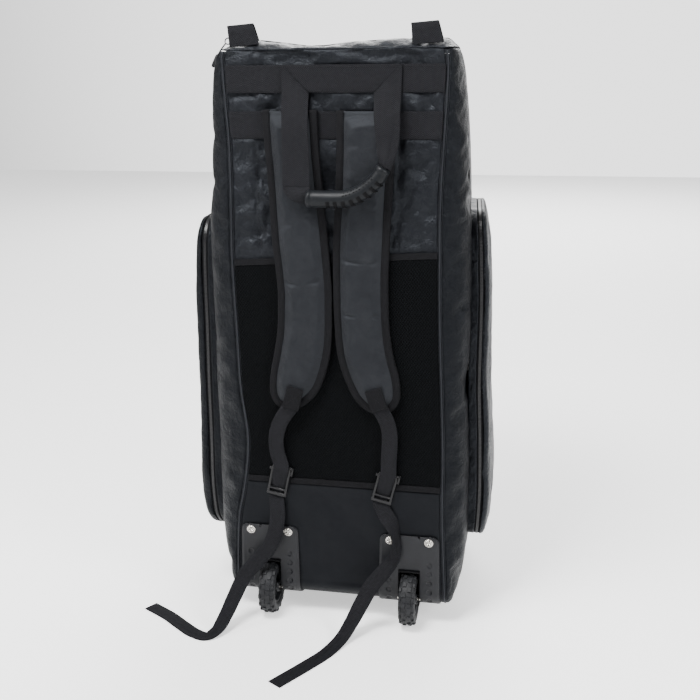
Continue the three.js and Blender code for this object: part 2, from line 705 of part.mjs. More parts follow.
function addWearPanel() {
  const heelTop = BASE_HEIGHT + HEEL_RADIUS;
  const rows = bodyRows.filter((height) => height > heelTop && height < WEAR_TOP - CLOTH);
  const upright = [...rows, WEAR_TOP - GAP].reverse().map((height) => heelTop - height);
  const grid = [...upright, ...heelRound].map((distance) => {
    const { depth, height } = heelPlace(distance, 0);
    return [left, right].map((side) => (
      new THREE.Vector3(inFromSeam(side, height), depth, height)));
  });
  const under = sectionRows(HEEL_RADIUS).slice(1, CORNER_STEPS + 1);
  [...under, { depth: WEAR_UNDER, turn: 1, front: false }].forEach((row) => {
    grid.push([left, right].map((side) => new THREE.Vector3(
      side.hand * sectionReach(side, BASE_HEIGHT, row), row.depth, BASE_HEIGHT)));
  });
  const openings = [-WHEEL_SPREAD, WHEEL_SPREAD].map((middle) => {
    const reach = wellWidth / 2 + GAP;
    return disc(wellRadius + WELL_WALL + GAP, middle - reach, middle + reach, 8);
  });
  add('wear_panel', cut(wall(grid, CLOTH), ...openings), 'coated');
}

function addPiping(side) {
  const points = bodyRows.map((row) => {
    const height = Math.min(row, highest - PIPING_ROOM);
    return new THREE.Vector3(side.hand * side.seam(height), heelDepth(height), height);
  });
  add(`piping_${side.name}`, rod(points, points.map(() => PIPING / 2), 6), 'piping');
}

// Back pieces in front of the panel
const bandLayer = GAP;
const secondLayer = bandLayer + WEBBING + GAP;

function addMeshPocket() {
  const bottom = [WEAR_TOP + SEAM_BAND + GAP, WEAR_TOP + SEAM_BAND + GAP];
  const top = [HEM_LEFT - HEM - GAP, HEM_RIGHT - HEM - GAP];
  add('mesh_pocket', backPiece(bottom, top, bandLayer, MESH), 'mesh');
  const hem = backPiece([HEM_LEFT - HEM, HEM_RIGHT - HEM], [HEM_LEFT, HEM_RIGHT], bandLayer, HEM_THICK);
  add('mesh_pocket_hem', hem, 'webbing');
  const band = [WEAR_TOP + SEAM_BAND, WEAR_TOP + SEAM_BAND];
  add('mesh_seam_band', backPiece([WEAR_TOP, WEAR_TOP], band, bandLayer, WEBBING), 'webbing');
}

function addBand(name, top) {
  const low = top - BAND_WIDTH;
  add(name, backPiece([low, low], [top, top], bandLayer, WEBBING), 'webbing');
}

// Shoulder pad: its outline runs down the left edge, round the lower end and up the right edge
const bindingBack = bandLayer + Math.max(WEBBING, HEM_THICK) + GAP;
const padBack = bindingBack + BINDING + GAP;
const padFront = padBack + PAD_THICK;
const PAD_CROWN = [0, 0.2, 0.5, 0.8, 1]; // shares of the way between the two bindings

function padOutline(table) {
  const edge = (row, hand) => (
    new THREE.Vector2((row.middle + hand * row.side) * half, row.up * SEAM_TOP));
  const down = table.map((row) => edge(row, -1));
  const up = table.map((row) => edge(row, 1)).reverse();
  return [...down, ...up];
}

// A place inset from an outline's corner, square to both edges that meet there
function inset(outline, i, distance) {
  const before = outline[Math.max(i - 1, 0)];
  const next = outline[Math.min(i + 1, outline.length - 1)];
  const first = outline[i].clone().sub(before);
  const second = next.clone().sub(outline[i]);
  const into = (edge) => new THREE.Vector2(-edge.y, edge.x).normalize();
  const a = first.length() > 0 ? into(first) : into(second);
  const b = second.length() > 0 ? into(second) : into(first);
  const middle = a.clone().add(b).normalize();
  return outline[i].clone().addScaledVector(middle, distance / middle.dot(a));
}

function addPad(name, table) {
  const outline = padOutline(table);
  const last = outline.length - 1;
  const margin = BINDING + GAP;
  const rings = table.map((row, i) => {
    const from = inset(outline, i, margin);
    const to = inset(outline, last - i, margin);
    const spot = (share, depth) => {
      const place = from.clone().lerp(to, share);
      return new THREE.Vector3(place.x, -depth, place.y);
    };
    const covered = Math.min((BINDING_LIP + 2 * margin) / from.distanceTo(to), 0.4);
    const shares = [0, ...PAD_CROWN.map((share) => lerp(covered, 1 - covered, share)), 1];
    const front = shares.map((share, j) => {
      const place = PAD_CROWN[j - 1] ?? 0;
      const crown = 1 - Math.abs(2 * place - 1) ** 2.4;
      return spot(share, padBack + PAD_EDGE + (PAD_THICK - PAD_EDGE) * crown * row.lift);
    });
    const back = shares.map((share) => spot(share, padBack)).reverse();
    return [...front, ...back];
  });
  add(`shoulder_pad_${name}`, loft(rings), 'padding');
  const lips = outline.map((_, i) => {
    const at = (distance, depth) => {
      const place = inset(outline, i, distance);
      return new THREE.Vector3(place.x, -depth, place.y);
    };
    const frontIn = padBack + PAD_EDGE + GAP;
    const frontOut = frontIn + BINDING;
    return [
      at(BINDING_LIP, frontOut), at(0, frontOut), at(0, bindingBack), at(BINDING_LIP, bindingBack),
      at(BINDING_LIP, bindingBack + BINDING), at(BINDING, bindingBack + BINDING),
      at(BINDING, frontIn), at(BINDING_LIP, frontIn),
    ];
  });
  add(`pad_binding_${name}`, loft(lips), 'webbing');
}

// Ladder lock: webbing passes over its top bar, through the tall window and behind the others
const buckleBack = secondLayer + WEBBING + GAP;
const buckleMiddle = WEAR_TOP + 4;
const rideFront = buckleBack + BUCKLE_THICK + GAP + WEBBING / 2;
const rideBack = secondLayer + WEBBING / 2;
const ridePad = padFront + GAP + WEBBING / 2;
const windowTop = BUCKLE_HEIGHT / 2 - BUCKLE_BAR;
const middleBar = -BUCKLE_HEIGHT / 2 + 2.6 * BUCKLE_BAR;
const LEFT_BUCKLE = { across: -0.592, lean: 12 };
const RIGHT_BUCKLE = { across: 0.462, lean: 14 };

// A place on the buckle, drawn upright about its own middle, leaning as the buckle leans
function onBuckle(buckle, x, depth, z) {
  const lean = THREE.MathUtils.degToRad(buckle.lean);
  return new THREE.Vector3(
    buckle.across * half + x * Math.cos(lean) + z * Math.sin(lean),
    -depth,
    buckleMiddle - x * Math.sin(lean) + z * Math.cos(lean));
}

function placeBuckle(geometry, buckle) {
  geometry.rotateY(THREE.MathUtils.degToRad(buckle.lean));
  return geometry.translate(buckle.across * half, 0, buckleMiddle);
}

function addBuckle(name, buckle) {
  const shape = roundedBox(BUCKLE_WIDTH, BUCKLE_HEIGHT, BUCKLE_BAR * 0.8);
  const side = STRAP_WIDTH / 2 + 1;
  const tall = rectangle(-side, side, middleBar, windowTop);
  const low = -BUCKLE_HEIGHT / 2 + BUCKLE_BAR;
  const short = rectangle(-side, side, low, middleBar - BUCKLE_BAR * 0.6);
  shape.holes.push(tall, short);
  add(`buckle_${name}`, placeBuckle(facing(shape, -buckleBack, BUCKLE_THICK), buckle), 'plastic');
  const foot = BUCKLE_BAR;
  const anchor = rectangle(-STRAP_WIDTH / 2, STRAP_WIDTH / 2, foot, BUCKLE_HEIGHT / 2 - 1);
  add(`buckle_anchor_${name}`, placeBuckle(facing(anchor, -secondLayer, WEBBING), buckle), 'webbing');
}

const towards = new THREE.Vector3(0, -1, 0);

function faceOf(row) {
  const turn = THREE.MathUtils.degToRad(row.turn);
  const tip = THREE.MathUtils.degToRad(row.tip);
  return new THREE.Vector3(
    Math.sin(turn) * Math.cos(tip), -Math.cos(turn) * Math.cos(tip), Math.sin(tip));
}

function addAdjuster(name, table, tail, buckle) {
  const padEnd = SEAM_TOP * 0.4;
  const buckleTop = onBuckle(buckle, 0, rideFront, BUCKLE_HEIGHT / 2);
  const hang = table.map((row) => ({
    point: new THREE.Vector3(
      row.across * half, -lerp(rideFront, ridePad, row.out), lerp(padEnd, buckleTop.z, row.drop)),
    face: towards,
    width: STRAP_WIDTH,
  }));
  const threaded = [
    [rideFront, BUCKLE_HEIGHT / 2 + 2], [rideFront, windowTop - 1], [rideBack, middleBar + 1.5],
    [rideBack, 0.5 - BUCKLE_HEIGHT / 2], [rideBack, -3 - BUCKLE_HEIGHT / 2],
    [rideBack, -6 - BUCKLE_HEIGHT / 2],
  ].map(([depth, z]) => (
    { point: onBuckle(buckle, 0, depth, z), face: towards, width: STRAP_WIDTH }));
  const lowEdge = threaded[threaded.length - 1].point.z;
  const lying = WEBBING / 2 + GAP;
  const free = tail.map((row) => ({
    point: new THREE.Vector3(
      row.across * half, -row.out * TAIL_REACH, lerp(lying, lowEdge, row.up)),
    face: faceOf(row),
    width: STRAP_WIDTH,
  }));
  const rows = [
    ...hang, ...threaded.slice(0, -1),
    ...ease([threaded[threaded.length - 1], ...free], 2),
  ];
  rows.forEach((row) => row.point.setZ(Math.max(row.point.z, lying)));
  add(`adjuster_${name}`, ribbon(rows, WEBBING), 'webbing');
  const [from, to] = [hang[0].point.clone(), hang[1].point.clone()];
  const lift = new THREE.Vector3(0, -WEBBING - GAP, 0);
  const length = to.clone().sub(from).setLength(PATCH_LENGTH);
  const ends = [from.clone().add(lift), from.clone().add(length).add(lift)];
  const patch = ends.map((point) => ({ point, face: towards, width: STRAP_WIDTH + 2 }));
  add(`strap_patch_${name}`, ribbon(patch, WEBBING), 'webbing');
}

// Carry handle: one webbing that runs along the upper band, folds down at both ends and
// goes into the rubber grip
const gripDepth = padFront + WEBBING + GRIP_RADIUS + 2 * GAP;
const onHandle = (row, depth) => new THREE.Vector3(
  HANDLE_SHIFT + (row.across * HANDLE_SPAN) / 2, -depth, row.up * SEAM_TOP);

function addHandle() {
  const flat = secondLayer + WEBBING / 2;
  const legs = [LEFT_LEG, RIGHT_LEG].map((table) => ribbon(ease(table.map((row) => ({
    point: onHandle(row, lerp(flat, gripDepth, row.out)),
    face: towards,
    width: row.width * HANDLE_WIDTH,
  })), 2), WEBBING));
  const [from, to] = [-1, 1].map((hand) => HANDLE_SHIFT + (hand * HANDLE_SPAN) / 2);
  const run = facing(rectangle(from, to, UPPER_BAND - BAND_WIDTH, UPPER_BAND), -secondLayer, WEBBING);
  add('handle_webbing', join(run, ...legs), 'webbing');

  const route = new THREE.CatmullRomCurve3(GRIP_ROUTE.map((row) => onHandle(row, gripDepth)));
  const size = readCurve(GRIP_ROUTE.map((row, i) => ({ ...row, i })), 'i', 'size');
  const steps = 12;
  const shares = Array.from({ length: steps + 1 }, (_, i) => i / steps);
  const points = shares.map((share) => route.getPoint(share));
  const radii = shares.map((share) => GRIP_RADIUS * size(share * (GRIP_ROUTE.length - 1)));
  const slots = Array.from({ length: GRIP_SLOTS }, (_, i) => {
    const share = lerp(0.26, 0.84, i / (GRIP_SLOTS - 1));
    const along = route.getTangent(share);
    const slot = new THREE.BoxGeometry(SLOT_WIDTH, GRIP_RADIUS * 2, GRIP_RADIUS);
    const place = new THREE.Matrix4().makeBasis(
      along, towards, along.clone().cross(towards));
    const radius = GRIP_RADIUS * size(share * (GRIP_ROUTE.length - 1));
    slot.translate(0, 0, (GRIP_RADIUS / 2 + radius - SLOT_DEPTH) * -1);
    slot.applyMatrix4(place);
    return slot.translate(...route.getPoint(share).toArray());
  });
  add('handle_grip', cut(rod(points, radii, 10), ...slots), 'grip');
}

// Outline of a side pocket in depth and height, symmetric about its upright middle line
function pocketOutline(low, high, margin) {
  const radius = Math.max(POCKET_CORNER - margin, 3);
  const [near, far] = [POCKET_NEAR + margin, POCKET_FAR - margin];
  const [bottom, top] = [low + margin, high - margin];
  const points = [];
  const turn = (depth, height, from) => {
    for (let step = 0; step <= 3; step++) {
      const angle = from + (step / 3) * (Math.PI / 2);
      points.push([depth + radius * Math.cos(angle), height + radius * Math.sin(angle)]);
    }
  };
  const clear = POCKET_CORNER * 1.3;
  const rows = bodyRows.filter((row) => row > low + clear && row < high - clear);
  turn(far - radius, bottom + radius, -Math.PI / 2);
  rows.forEach((row) => points.push([far, row]));
  turn(far - radius, top - radius, 0);
  turn(near + radius, top - radius, Math.PI / 2);
  rows.reverse().forEach((row) => points.push([near, row]));
  turn(near + radius, bottom + radius, Math.PI);
  return points;
}

const pocketSwell = readCurve(POCKET_SWELL, 'up', 'stand');

function addPocket(side, pocket) {
  const [low, high] = [pocket.low * SEAM_TOP, pocket.high * SEAM_TOP];
  const stand = (height) => (
    pocket.stand * POCKET_STAND * pocketSwell((height - low) / (high - low)));
  // A loop round the pocket at a margin in from its edge, a share of the way out and a step more
  const loop = (margin, share, more) => pocketOutline(low, high, margin).map(([depth, height]) => (
    new THREE.Vector3(
      side.hand * (side.reach(height, depth) + SEAT_ROOM + share * stand(height) + more),
      depth, height)));
  const hoop = (marginOut, marginIn, from, to) => {
    const [a, b] = [loop(marginOut, ...from), loop(marginOut, ...to)];
    const [c, d] = [loop(marginIn, ...to), loop(marginIn, ...from)];
    return loft(a.map((point, i) => [point, b[i], c[i], d[i]]), true);
  };
  const zip = 0.42;
  const bead = 1.2;
  add(`pocket_wall_${side.name}`, hoop(0, CLOTH, [0, 0], [zip, 0]), 'fabric');
  const teeth = hoop(bead, bead + ZIP_THICK, [zip, GAP], [zip, POCKET_ZIP]);
  add(`pocket_zip_${side.name}`, teeth, 'webbing');
  const start = POCKET_ZIP + GAP;
  const crown = POCKET_STAND * 0.12;
  const cover = loft([
    loop(POCKET_CORNER * 1.2, 1, crown - CLOTH), loop(POCKET_ROLL, 1, -CLOTH),
    loop(CLOTH * 1.6, 0.86, -CLOTH), loop(CLOTH, zip, start),
    loop(0, zip, start), loop(0, 0.82, 0), loop(POCKET_ROLL * 0.3, 0.94, 0),
    loop(POCKET_ROLL, 1, 0), loop(POCKET_CORNER * 1.2, 1, crown),
  ]);
  add(`pocket_cover_${side.name}`, cover, 'fabric');
}

// Main zip: tape down both sides and over the top end, 0.3 mm off the body
function zipRoute() {
  const upper = bodyRows.filter((height) => height > ZIP_LOW);
  const climb = (side) => upper.map((height) => (
    new THREE.Vector2(side.hand * side.reach(height, ZIP_DEPTH), height)));
  const over = topShares.map((share) => {
    const side = share < 0 ? left : right;
    return new THREE.Vector2(share * side.reach(SEAM_TOP, ZIP_DEPTH), topHeight(share, ZIP_DEPTH));
  });
  return [...climb(left), ...over, ...climb(right).reverse()];
}

function addMainZip() {
  const route = zipRoute();
  const rings = route.map((_, i) => {
    const out = inset(route, i, GAP);
    const proud = inset(route, i, GAP + ZIP_THICK);
    const at = (place, depth) => {
      const side = place.x < 0 ? left : right;
      const height = Math.min(place.y, SEAM_TOP);
      const lean = side.reach(height, depth) / side.reach(height, ZIP_DEPTH);
      return new THREE.Vector3(place.x * lean, depth, place.y);
    };
    const [near, far] = [ZIP_DEPTH - ZIP_TAPE / 2, ZIP_DEPTH + ZIP_TAPE / 2];
    return [at(proud, near), at(proud, far), at(out, far), at(out, near)];
  });
  add('main_zip', loft(rings), 'webbing');
}

// Slider parked at the left end of the top, with a ring, and a cord puller hanging down the side
function addZipPull() {
  const reach = left.reach(SEAM_TOP, ZIP_DEPTH);
  const share = -0.9;
  const base = topHeight(-0.82, ZIP_DEPTH) + 2 * GAP + ZIP_THICK;
  const middle = new THREE.Vector3(share * reach, ZIP_DEPTH, base + SLIDER_HEIGHT / 2);
  const body = new THREE.BoxGeometry(SLIDER_LENGTH, SLIDER_WIDTH, SLIDER_HEIGHT);
  body.translate(...middle.toArray());
  const ring = new THREE.TorusGeometry(PULL_RING, PULL_WIRE, 4, 8).rotateX(Math.PI / 2.4);
  const ringPlace = middle.clone().add(new THREE.Vector3(-SLIDER_LENGTH / 2 - PULL_RING + 1, 0, 0));
  ring.translate(...ringPlace.toArray());
  add('zip_slider', join(body, ring), 'steel');
  const start = ringPlace.clone().add(new THREE.Vector3(-PULL_RING - PULL_WIRE - PULL_CORD, 0, 0));
  const side = (height, out) => (
    new THREE.Vector3(-left.reach(height, ZIP_DEPTH) - GAP - ZIP_THICK - GAP - out, ZIP_DEPTH, height));
  const drop = [0.982, 0.975, 0.968, 0.961, 0.958].map((up) => up * SEAM_TOP);
  const points = [
    start, side(SEAM_TOP * 0.995, PULL_CORD + 2), side(drop[0], PULL_CORD + 1),
    side(drop[1], PULL_END + 1), side(drop[2], PULL_END), side(drop[3], PULL_END), side(drop[4], PULL_END),
  ];
  const radii = [PULL_CORD, PULL_CORD, PULL_CORD, PULL_END, PULL_END, PULL_END, PULL_END * 0.7];
  add('zip_pull', rod(points, radii, 6), 'rubber');
}

// Webbing tab: a loop standing on the top end, leaning to the left
function addTab(name, middle, lean) {
  const share = (middle * half) / (middle < 0 ? left : right).reach(SEAM_TOP, 0);
  const outer = TAB_SPACE / 2 + WEBBING;
  const steps = Array.from({ length: 9 }, (_, i) => share + 0.03 * (i - 4));
  const footAt = (depth) => Math.max(...steps.map((step) => builtTop(step, depth))) + GAP;
  const foot = footAt(TAB_DEPTH - TAB_SPACE / 2);
  const farFoot = footAt(TAB_DEPTH + outer);
  const bend = foot + TAB_HEIGHT - outer;
  const route = [[-1, foot], [-1, bend]];
  for (let step = 1; step < 4; step++) {
    const angle = Math.PI * (1 - step / 4);
    route.push([Math.cos(angle), bend + Math.sin(angle) * outer]);
  }
  route.push([1, bend], [1, farFoot]);
  const rings = route.map(([layer, height], i) => {
    const inward = i > 1 && i < route.length - 2 ? (height - bend) / outer : 0;
    const inner = TAB_SPACE / 2 / outer;
    const shift = middle * half + (lean * (height - foot)) / TAB_HEIGHT;
    const innerHeight = bend + inward * (TAB_SPACE / 2);
    const z = inward > 0 ? innerHeight : height;
    const at = (x, depthShare, z2) => new THREE.Vector3(shift + x, TAB_DEPTH + depthShare * outer, z2);
    return [
      at(-TAB_WIDTH / 2, layer, height), at(TAB_WIDTH / 2, layer, height),
      at(TAB_WIDTH / 2, layer * inner, z), at(-TAB_WIDTH / 2, layer * inner, z),
    ];
  });
  add(`top_tab_${name}`, loft(rings), 'webbing');
}

// Wheel housing: the moulded plate on the back and the wheel well behind it, in one piece
function addHousing(side) {
  const middle = side.hand * WHEEL_SPREAD;
  const top = BASE_HEIGHT + HEEL_RADIUS - PLATE_TOP;
  const rounded = [0, 1, 2, 3].map((step) => {
    const angle = (step / 3) * (Math.PI / 2);
    return { distance: top + PLATE_CORNER * (1 - Math.cos(angle)),
      narrow: PLATE_CORNER * (1 - Math.sin(angle)) };
  });
  const rest = [0.5 * (top + PLATE_CORNER), ...heelRound].map((distance) => ({ distance, narrow: 0 }));
  const grid = [...rounded, ...rest].map(({ distance, narrow }) => {
    const { depth, height } = heelPlace(distance, GAP + PLATE);
    const flare = PLATE_FLARE * ((PLATE_TOP - height) / PLATE_TOP);
    const reach = PLATE_WIDTH / 2 - narrow + flare;
    return [-reach, reach].map((x) => new THREE.Vector3(middle + x, depth, height));
  });
  const plate = wall(grid, PLATE);
  const well = keepInside(
    disc(wellRadius + WELL_WALL, middle - wellWidth / 2, middle + wellWidth / 2, 8),
    heelCore(GAP + PLATE * 0.9, middle - wellWidth, middle + wellWidth));
  const hollow = disc(wellRadius, middle - slotWidth / 2, middle + slotWidth / 2, 8);
  const bore = disc(AXLE_RADIUS + GAP, middle - wellWidth / 2 - 1, middle + wellWidth / 2 + 1, 5);
  const dimples = [];
  for (const hand of [-1, 1]) {
    for (let i = 0; i < DIMPLE_COUNT; i++) {
      const distance = BASE_HEIGHT + HEEL_RADIUS - DIMPLE_TOP + i * DIMPLE_PITCH;
      const { depth, height } = heelPlace(distance, GAP + PLATE);
      const tilt = Math.max(distance, 0) / HEEL_RADIUS;
      const tool = new THREE.CylinderGeometry(DIMPLE_RADIUS, DIMPLE_RADIUS, DIMPLE_DEPTH * 2, 6);
      tool.rotateX(tilt).translate(middle + hand * DIMPLE_SPREAD, depth, height);
      dimples.push(tool);
    }
  }
  add(`wheel_housing_${side.name}`, cut(join(plate, well), hollow, bore, ...dimples), 'plastic');
}

function addRivets(side) {
  [-1, 1].forEach((hand) => {
    const place = hand === side.hand ? 'outer' : 'inner';
    const profile = [[0, 0], [RIVET_RADIUS, 0], [RIVET_RADIUS * 0.9, RIVET_HEIGHT * 0.5],
      [RIVET_RADIUS * 0.55, RIVET_HEIGHT * 0.9], [0, RIVET_HEIGHT]];
    const points = profile.map(([radius, height]) => new THREE.Vector2(radius, height));
    const rivet = new THREE.LatheGeometry(points, 10).rotateX(Math.PI);
    rivet.translate(side.hand * WHEEL_SPREAD + hand * RIVET_SPREAD, -PLATE - 2 * GAP, PLATE_TOP - RIVET_DROP);
    add(`rivet_${side.name}_${place}`, rivet, 'steel');
  });
}

// Closed lathe profile of [radius, place along the axle], turned to lie across the bag
function turned(profile, segments) {
  const points = [...profile, profile[0]].map(([radius, along]) => new THREE.Vector2(radius, along));
  return new THREE.LatheGeometry(points, segments).rotateZ(-Math.PI / 2);
}

function tyreGeometry() {
  const base = WHEEL_RADIUS - LUG_HEIGHT;
  const w = WHEEL_WIDTH / 2;
  const body = turned([
    [TYRE_BORE, -0.8 * w], [0.82 * base, -w], [0.93 * base, -0.93 * w], [base, -0.6 * w],
    [base, 0.6 * w], [0.93 * base, 0.93 * w], [0.82 * base, w], [TYRE_BORE, 0.8 * w],
  ], 16);
  const lugs = [];
  const halfAngle = LUG_LENGTH / WHEEL_RADIUS / 2;
  for (let i = 0; i < LUG_COUNT; i++) {
    for (const hand of [-1, 1]) {
      const middle = ((i + (hand > 0 ? 0.5 : 0)) / LUG_COUNT) * Math.PI * 2 - Math.PI / 2;
      const at = (radius, angle) => (
        new THREE.Vector2(radius * Math.cos(middle + angle), radius * Math.sin(middle + angle)));
      const shape = new THREE.Shape([
        at(base - 1.5, -halfAngle), at(WHEEL_RADIUS, -halfAngle),
        at(WHEEL_RADIUS, halfAngle), at(base - 1.5, halfAngle)]);
      const [near, far] = [hand * 0.06 * w, hand * 0.72 * w].sort((a, b) => a - b);
      lugs.push(across(shape, near, far));
    }
  }
  return join(body, ...lugs);
}

function addWheel(side) {
  const wheel = new THREE.Group();
  wheel.position.set(side.hand * WHEEL_SPREAD, WHEEL_DEPTH, WHEEL_RADIUS);
  bag.add(wheel);
  add(`wheel_tyre_${side.name}`, tyreGeometry(), 'rubber', wheel);
  const w = WHEEL_WIDTH / 2;
  const rim = TYRE_BORE - HUB_GAP;
  const bore = AXLE_RADIUS + HUB_GAP;
  const hub = turned([
    [bore, -0.95 * w], [bore + 4, -0.95 * w], [bore + 5, -0.3 * w], [rim - 4, -0.3 * w],
    [rim, -0.8 * w], [rim, 0.8 * w], [rim - 4, 0.3 * w], [bore + 5, 0.3 * w],
    [bore + 4, 0.95 * w], [bore, 0.95 * w],
  ], 16);
  add(`wheel_hub_${side.name}`, hub, 'plastic', wheel);
  const axle = new THREE.CylinderGeometry(AXLE_RADIUS, AXLE_RADIUS, wellWidth - GAP, 10);
  axle.rotateZ(-Math.PI / 2);
  axle.translate(side.hand * WHEEL_SPREAD, WHEEL_DEPTH, WHEEL_RADIUS);
  add(`wheel_axle_${side.name}`, axle, 'steel');
}

function addFootBar() {
  const front = BODY_DEPTH - FOOT_INSET;
  const back = front - FOOT_WIDTH;
  const top = BASE_HEIGHT - GAP;
  const shape = new THREE.Shape();
  shape.moveTo(back + FOOT_TAPER, 0).lineTo(front - FOOT_TAPER, 0);
  shape.lineTo(front, top).lineTo(back, top);
  add('foot_bar', across(shape, -FOOT_LENGTH / 2, FOOT_LENGTH / 2), 'plastic');
}

addBackPanel();
[left, right].forEach(addSidePanel);
addTopPanel();
addBasePanel();
addFrontPanel();
addWearPanel();
[left, right].forEach(addPiping);
addMainZip();
addZipPull();
addMeshPocket();
addBand('upper_band', UPPER_BAND);
addBand('lower_band', LOWER_BAND);
addHandle();
addPad('left', LEFT_PAD);
addPad('right', RIGHT_PAD);
addBuckle('left', LEFT_BUCKLE);
addBuckle('right', RIGHT_BUCKLE);
addAdjuster('left', LEFT_ADJUSTER, LEFT_TAIL, LEFT_BUCKLE);
addAdjuster('right', RIGHT_ADJUSTER, RIGHT_TAIL, RIGHT_BUCKLE);
addPocket(left, LEFT_POCKET);
addPocket(right, RIGHT_POCKET);
addTab('left', -0.8, -9);
addTab('right', 0.84, -8);
[left, right].forEach(addHousing);
[left, right].forEach(addRivets);
[left, right].forEach(addWheel);
addFootBar();

// The origin is the middle of the whole outline, on the floor
const outline = new THREE.Box3().setFromObject(bag);
const middle = outline.getCenter(new THREE.Vector3());
bag.position.set(-middle.x, -middle.y, -outline.min.z);
const group = new THREE.Group();
group.add(bag);

export default group;
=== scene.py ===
# %% [markdown]
# This lesson dresses a wheeled duffel bag that stands upright on two inset wheels and a foot bar.
# The measured frame comes first and stays fixed. Every piece made here sits where the frame says.
# Plain helper functions would do for a small prop, but a bag has many long seams that must meet.
# So its outlines are kept as short tables, and every panel reads the same ones.

# %% Load the frame
import math
import bmesh
import bpy
import numpy as np
from mathutils import Matrix, Vector, noise


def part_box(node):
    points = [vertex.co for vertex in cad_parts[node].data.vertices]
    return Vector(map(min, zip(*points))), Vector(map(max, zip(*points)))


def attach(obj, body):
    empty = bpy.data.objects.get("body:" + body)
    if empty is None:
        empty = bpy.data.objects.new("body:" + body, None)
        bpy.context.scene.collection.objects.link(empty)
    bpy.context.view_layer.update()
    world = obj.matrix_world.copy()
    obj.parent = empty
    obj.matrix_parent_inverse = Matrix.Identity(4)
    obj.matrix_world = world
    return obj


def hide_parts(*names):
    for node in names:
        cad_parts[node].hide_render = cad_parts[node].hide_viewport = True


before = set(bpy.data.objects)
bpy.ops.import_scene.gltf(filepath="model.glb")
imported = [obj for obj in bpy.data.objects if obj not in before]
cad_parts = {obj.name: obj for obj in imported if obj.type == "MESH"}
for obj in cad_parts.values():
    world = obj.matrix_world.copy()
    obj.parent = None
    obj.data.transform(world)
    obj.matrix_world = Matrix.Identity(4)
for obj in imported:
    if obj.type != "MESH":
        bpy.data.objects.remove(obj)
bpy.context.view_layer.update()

foot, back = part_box("foot_bar"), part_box("back_panel")
ORIGIN = np.array([(foot[0].x + foot[1].x) / 2, back[0].y, 0.0])
BAG = "bag"
SIDES = ((-1, "left"), (1, "right"))
print("origin of the bag's own frame", ORIGIN.round(4), "nodes", len(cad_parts))

# %% [markdown]
# The camera stands where a photographer would, a little left of the bag's middle and above it.
# Its place was worked out from the known widths of webbing and wheels. It is set as a matrix,
# because yaw, pitch and roll in that order are easy to read and to check.

# %% Camera
def add_object(name, data):
    made = bpy.data.objects.new(name, data)
    bpy.context.scene.collection.objects.link(made)
    return made


def aim_camera(place, yaw, pitch, roll, lens):
    yaw, pitch, roll = (math.radians(a) for a in (yaw, pitch, roll))
    ahead = Vector((math.sin(yaw) * math.cos(pitch), math.cos(yaw) * math.cos(pitch), -math.sin(pitch)))
    right = Vector((math.cos(yaw), -math.sin(yaw), 0))
    down = ahead.cross(right)
    turned = right * math.cos(roll) + down * math.sin(roll)
    under = down * math.cos(roll) - right * math.sin(roll)
    data = bpy.data.cameras.new("camera")
    data.lens, data.sensor_width = lens, 36
    made = add_object("camera", data)
    turn = Matrix((turned, -under, -ahead)).transposed()
    made.matrix_world = Matrix.Translation(Vector(place) / 1000 + Vector(ORIGIN)) @ turn.to_4x4()
    bpy.context.scene.camera = made
    return made


camera = aim_camera((312.76, -1468.91, 867.03), -11.253, 15.105, 0.377, 51.43)
print("camera", [round(v, 3) for v in camera.matrix_world.translation])

# %% [markdown]
# Curves through measured points give every outline. A straight interpolation would show corners,
# so each table is read with a smooth curve that passes through all of its rows.

# %% Smooth curves through tables
def smooth(places, values):
    places, values = np.asarray(places, float), np.asarray(values, float)
    slopes = np.gradient(values, places)

    def read(at):
        at = np.clip(np.asarray(at, float), places[0], places[-1])
        i = np.clip(np.searchsorted(places, at, side="right") - 1, 0, len(places) - 2)
        step = places[i + 1] - places[i]
        t = (at - places[i]) / step
        h = t * t * (3 - 2 * t)
        rise = t * (1 - t) ** 2 * slopes[i] - t * t * (1 - t) * slopes[i + 1]
        return values[i] * (1 - h) + values[i + 1] * h + rise * step
    return read


HALF, BULGE, DEPTH, CORNER = 165.0, 35.0, 340.0, 40.0
BASE, TOP, HEEL = 33.0, 912.0, 25.0
UP = [0, .05, .11, .16, .2, .31, .41, .52, .65, .77, .85, .93, .973, .992, 1]
LEFT_SEAM = [1.06, 1.05, 1.035, 1.015, .97, .9, .955, .975, .995, .985, .985, 1.01, 1.02, 1.02, 1]
LEFT_BULGE = [.66, .9, 1.12, 1.18, 1.2, 1.2, 1.22, 1.2, 1.22, 1.2, 1.12, 1, .86, .66, .4]
RIGHT_UP = [0, .05, .11, .19, .31, .41, .52, .65, .77, .85, .93, .973, .992, 1]
RIGHT_SEAM = [1.06, 1.05, 1.035, 1.02, 1.015, .995, .97, .955, .955, .975, .995, 1, .99, .98]
RIGHT_BULGE = [.55, .85, 1.05, 1.1, 1.08, 1, 1.02, .98, .88, .77, .6, .46, .37, .3]
outline = {
    -1: (smooth(UP, LEFT_SEAM), smooth(UP, LEFT_BULGE)),
    1: (smooth(RIGHT_UP, RIGHT_SEAM), smooth(RIGHT_UP, RIGHT_BULGE)),
}
LEAN_UP, LEAN_IN, TUCK = [0, .11, .31, .52, 1], [0, .14, .42, .57, .58], 14.0
SHOULDER_Z, SHOULDER_IN, ZIP_DEPTH, SEAM_GAP = 655, 6.0, 58, 3.5


def share_up(z):
    return (np.asarray(z, float) - BASE) / (TOP - BASE)


def seam_x(hand, z):
    return hand * HALF * outline[hand][0](share_up(z))


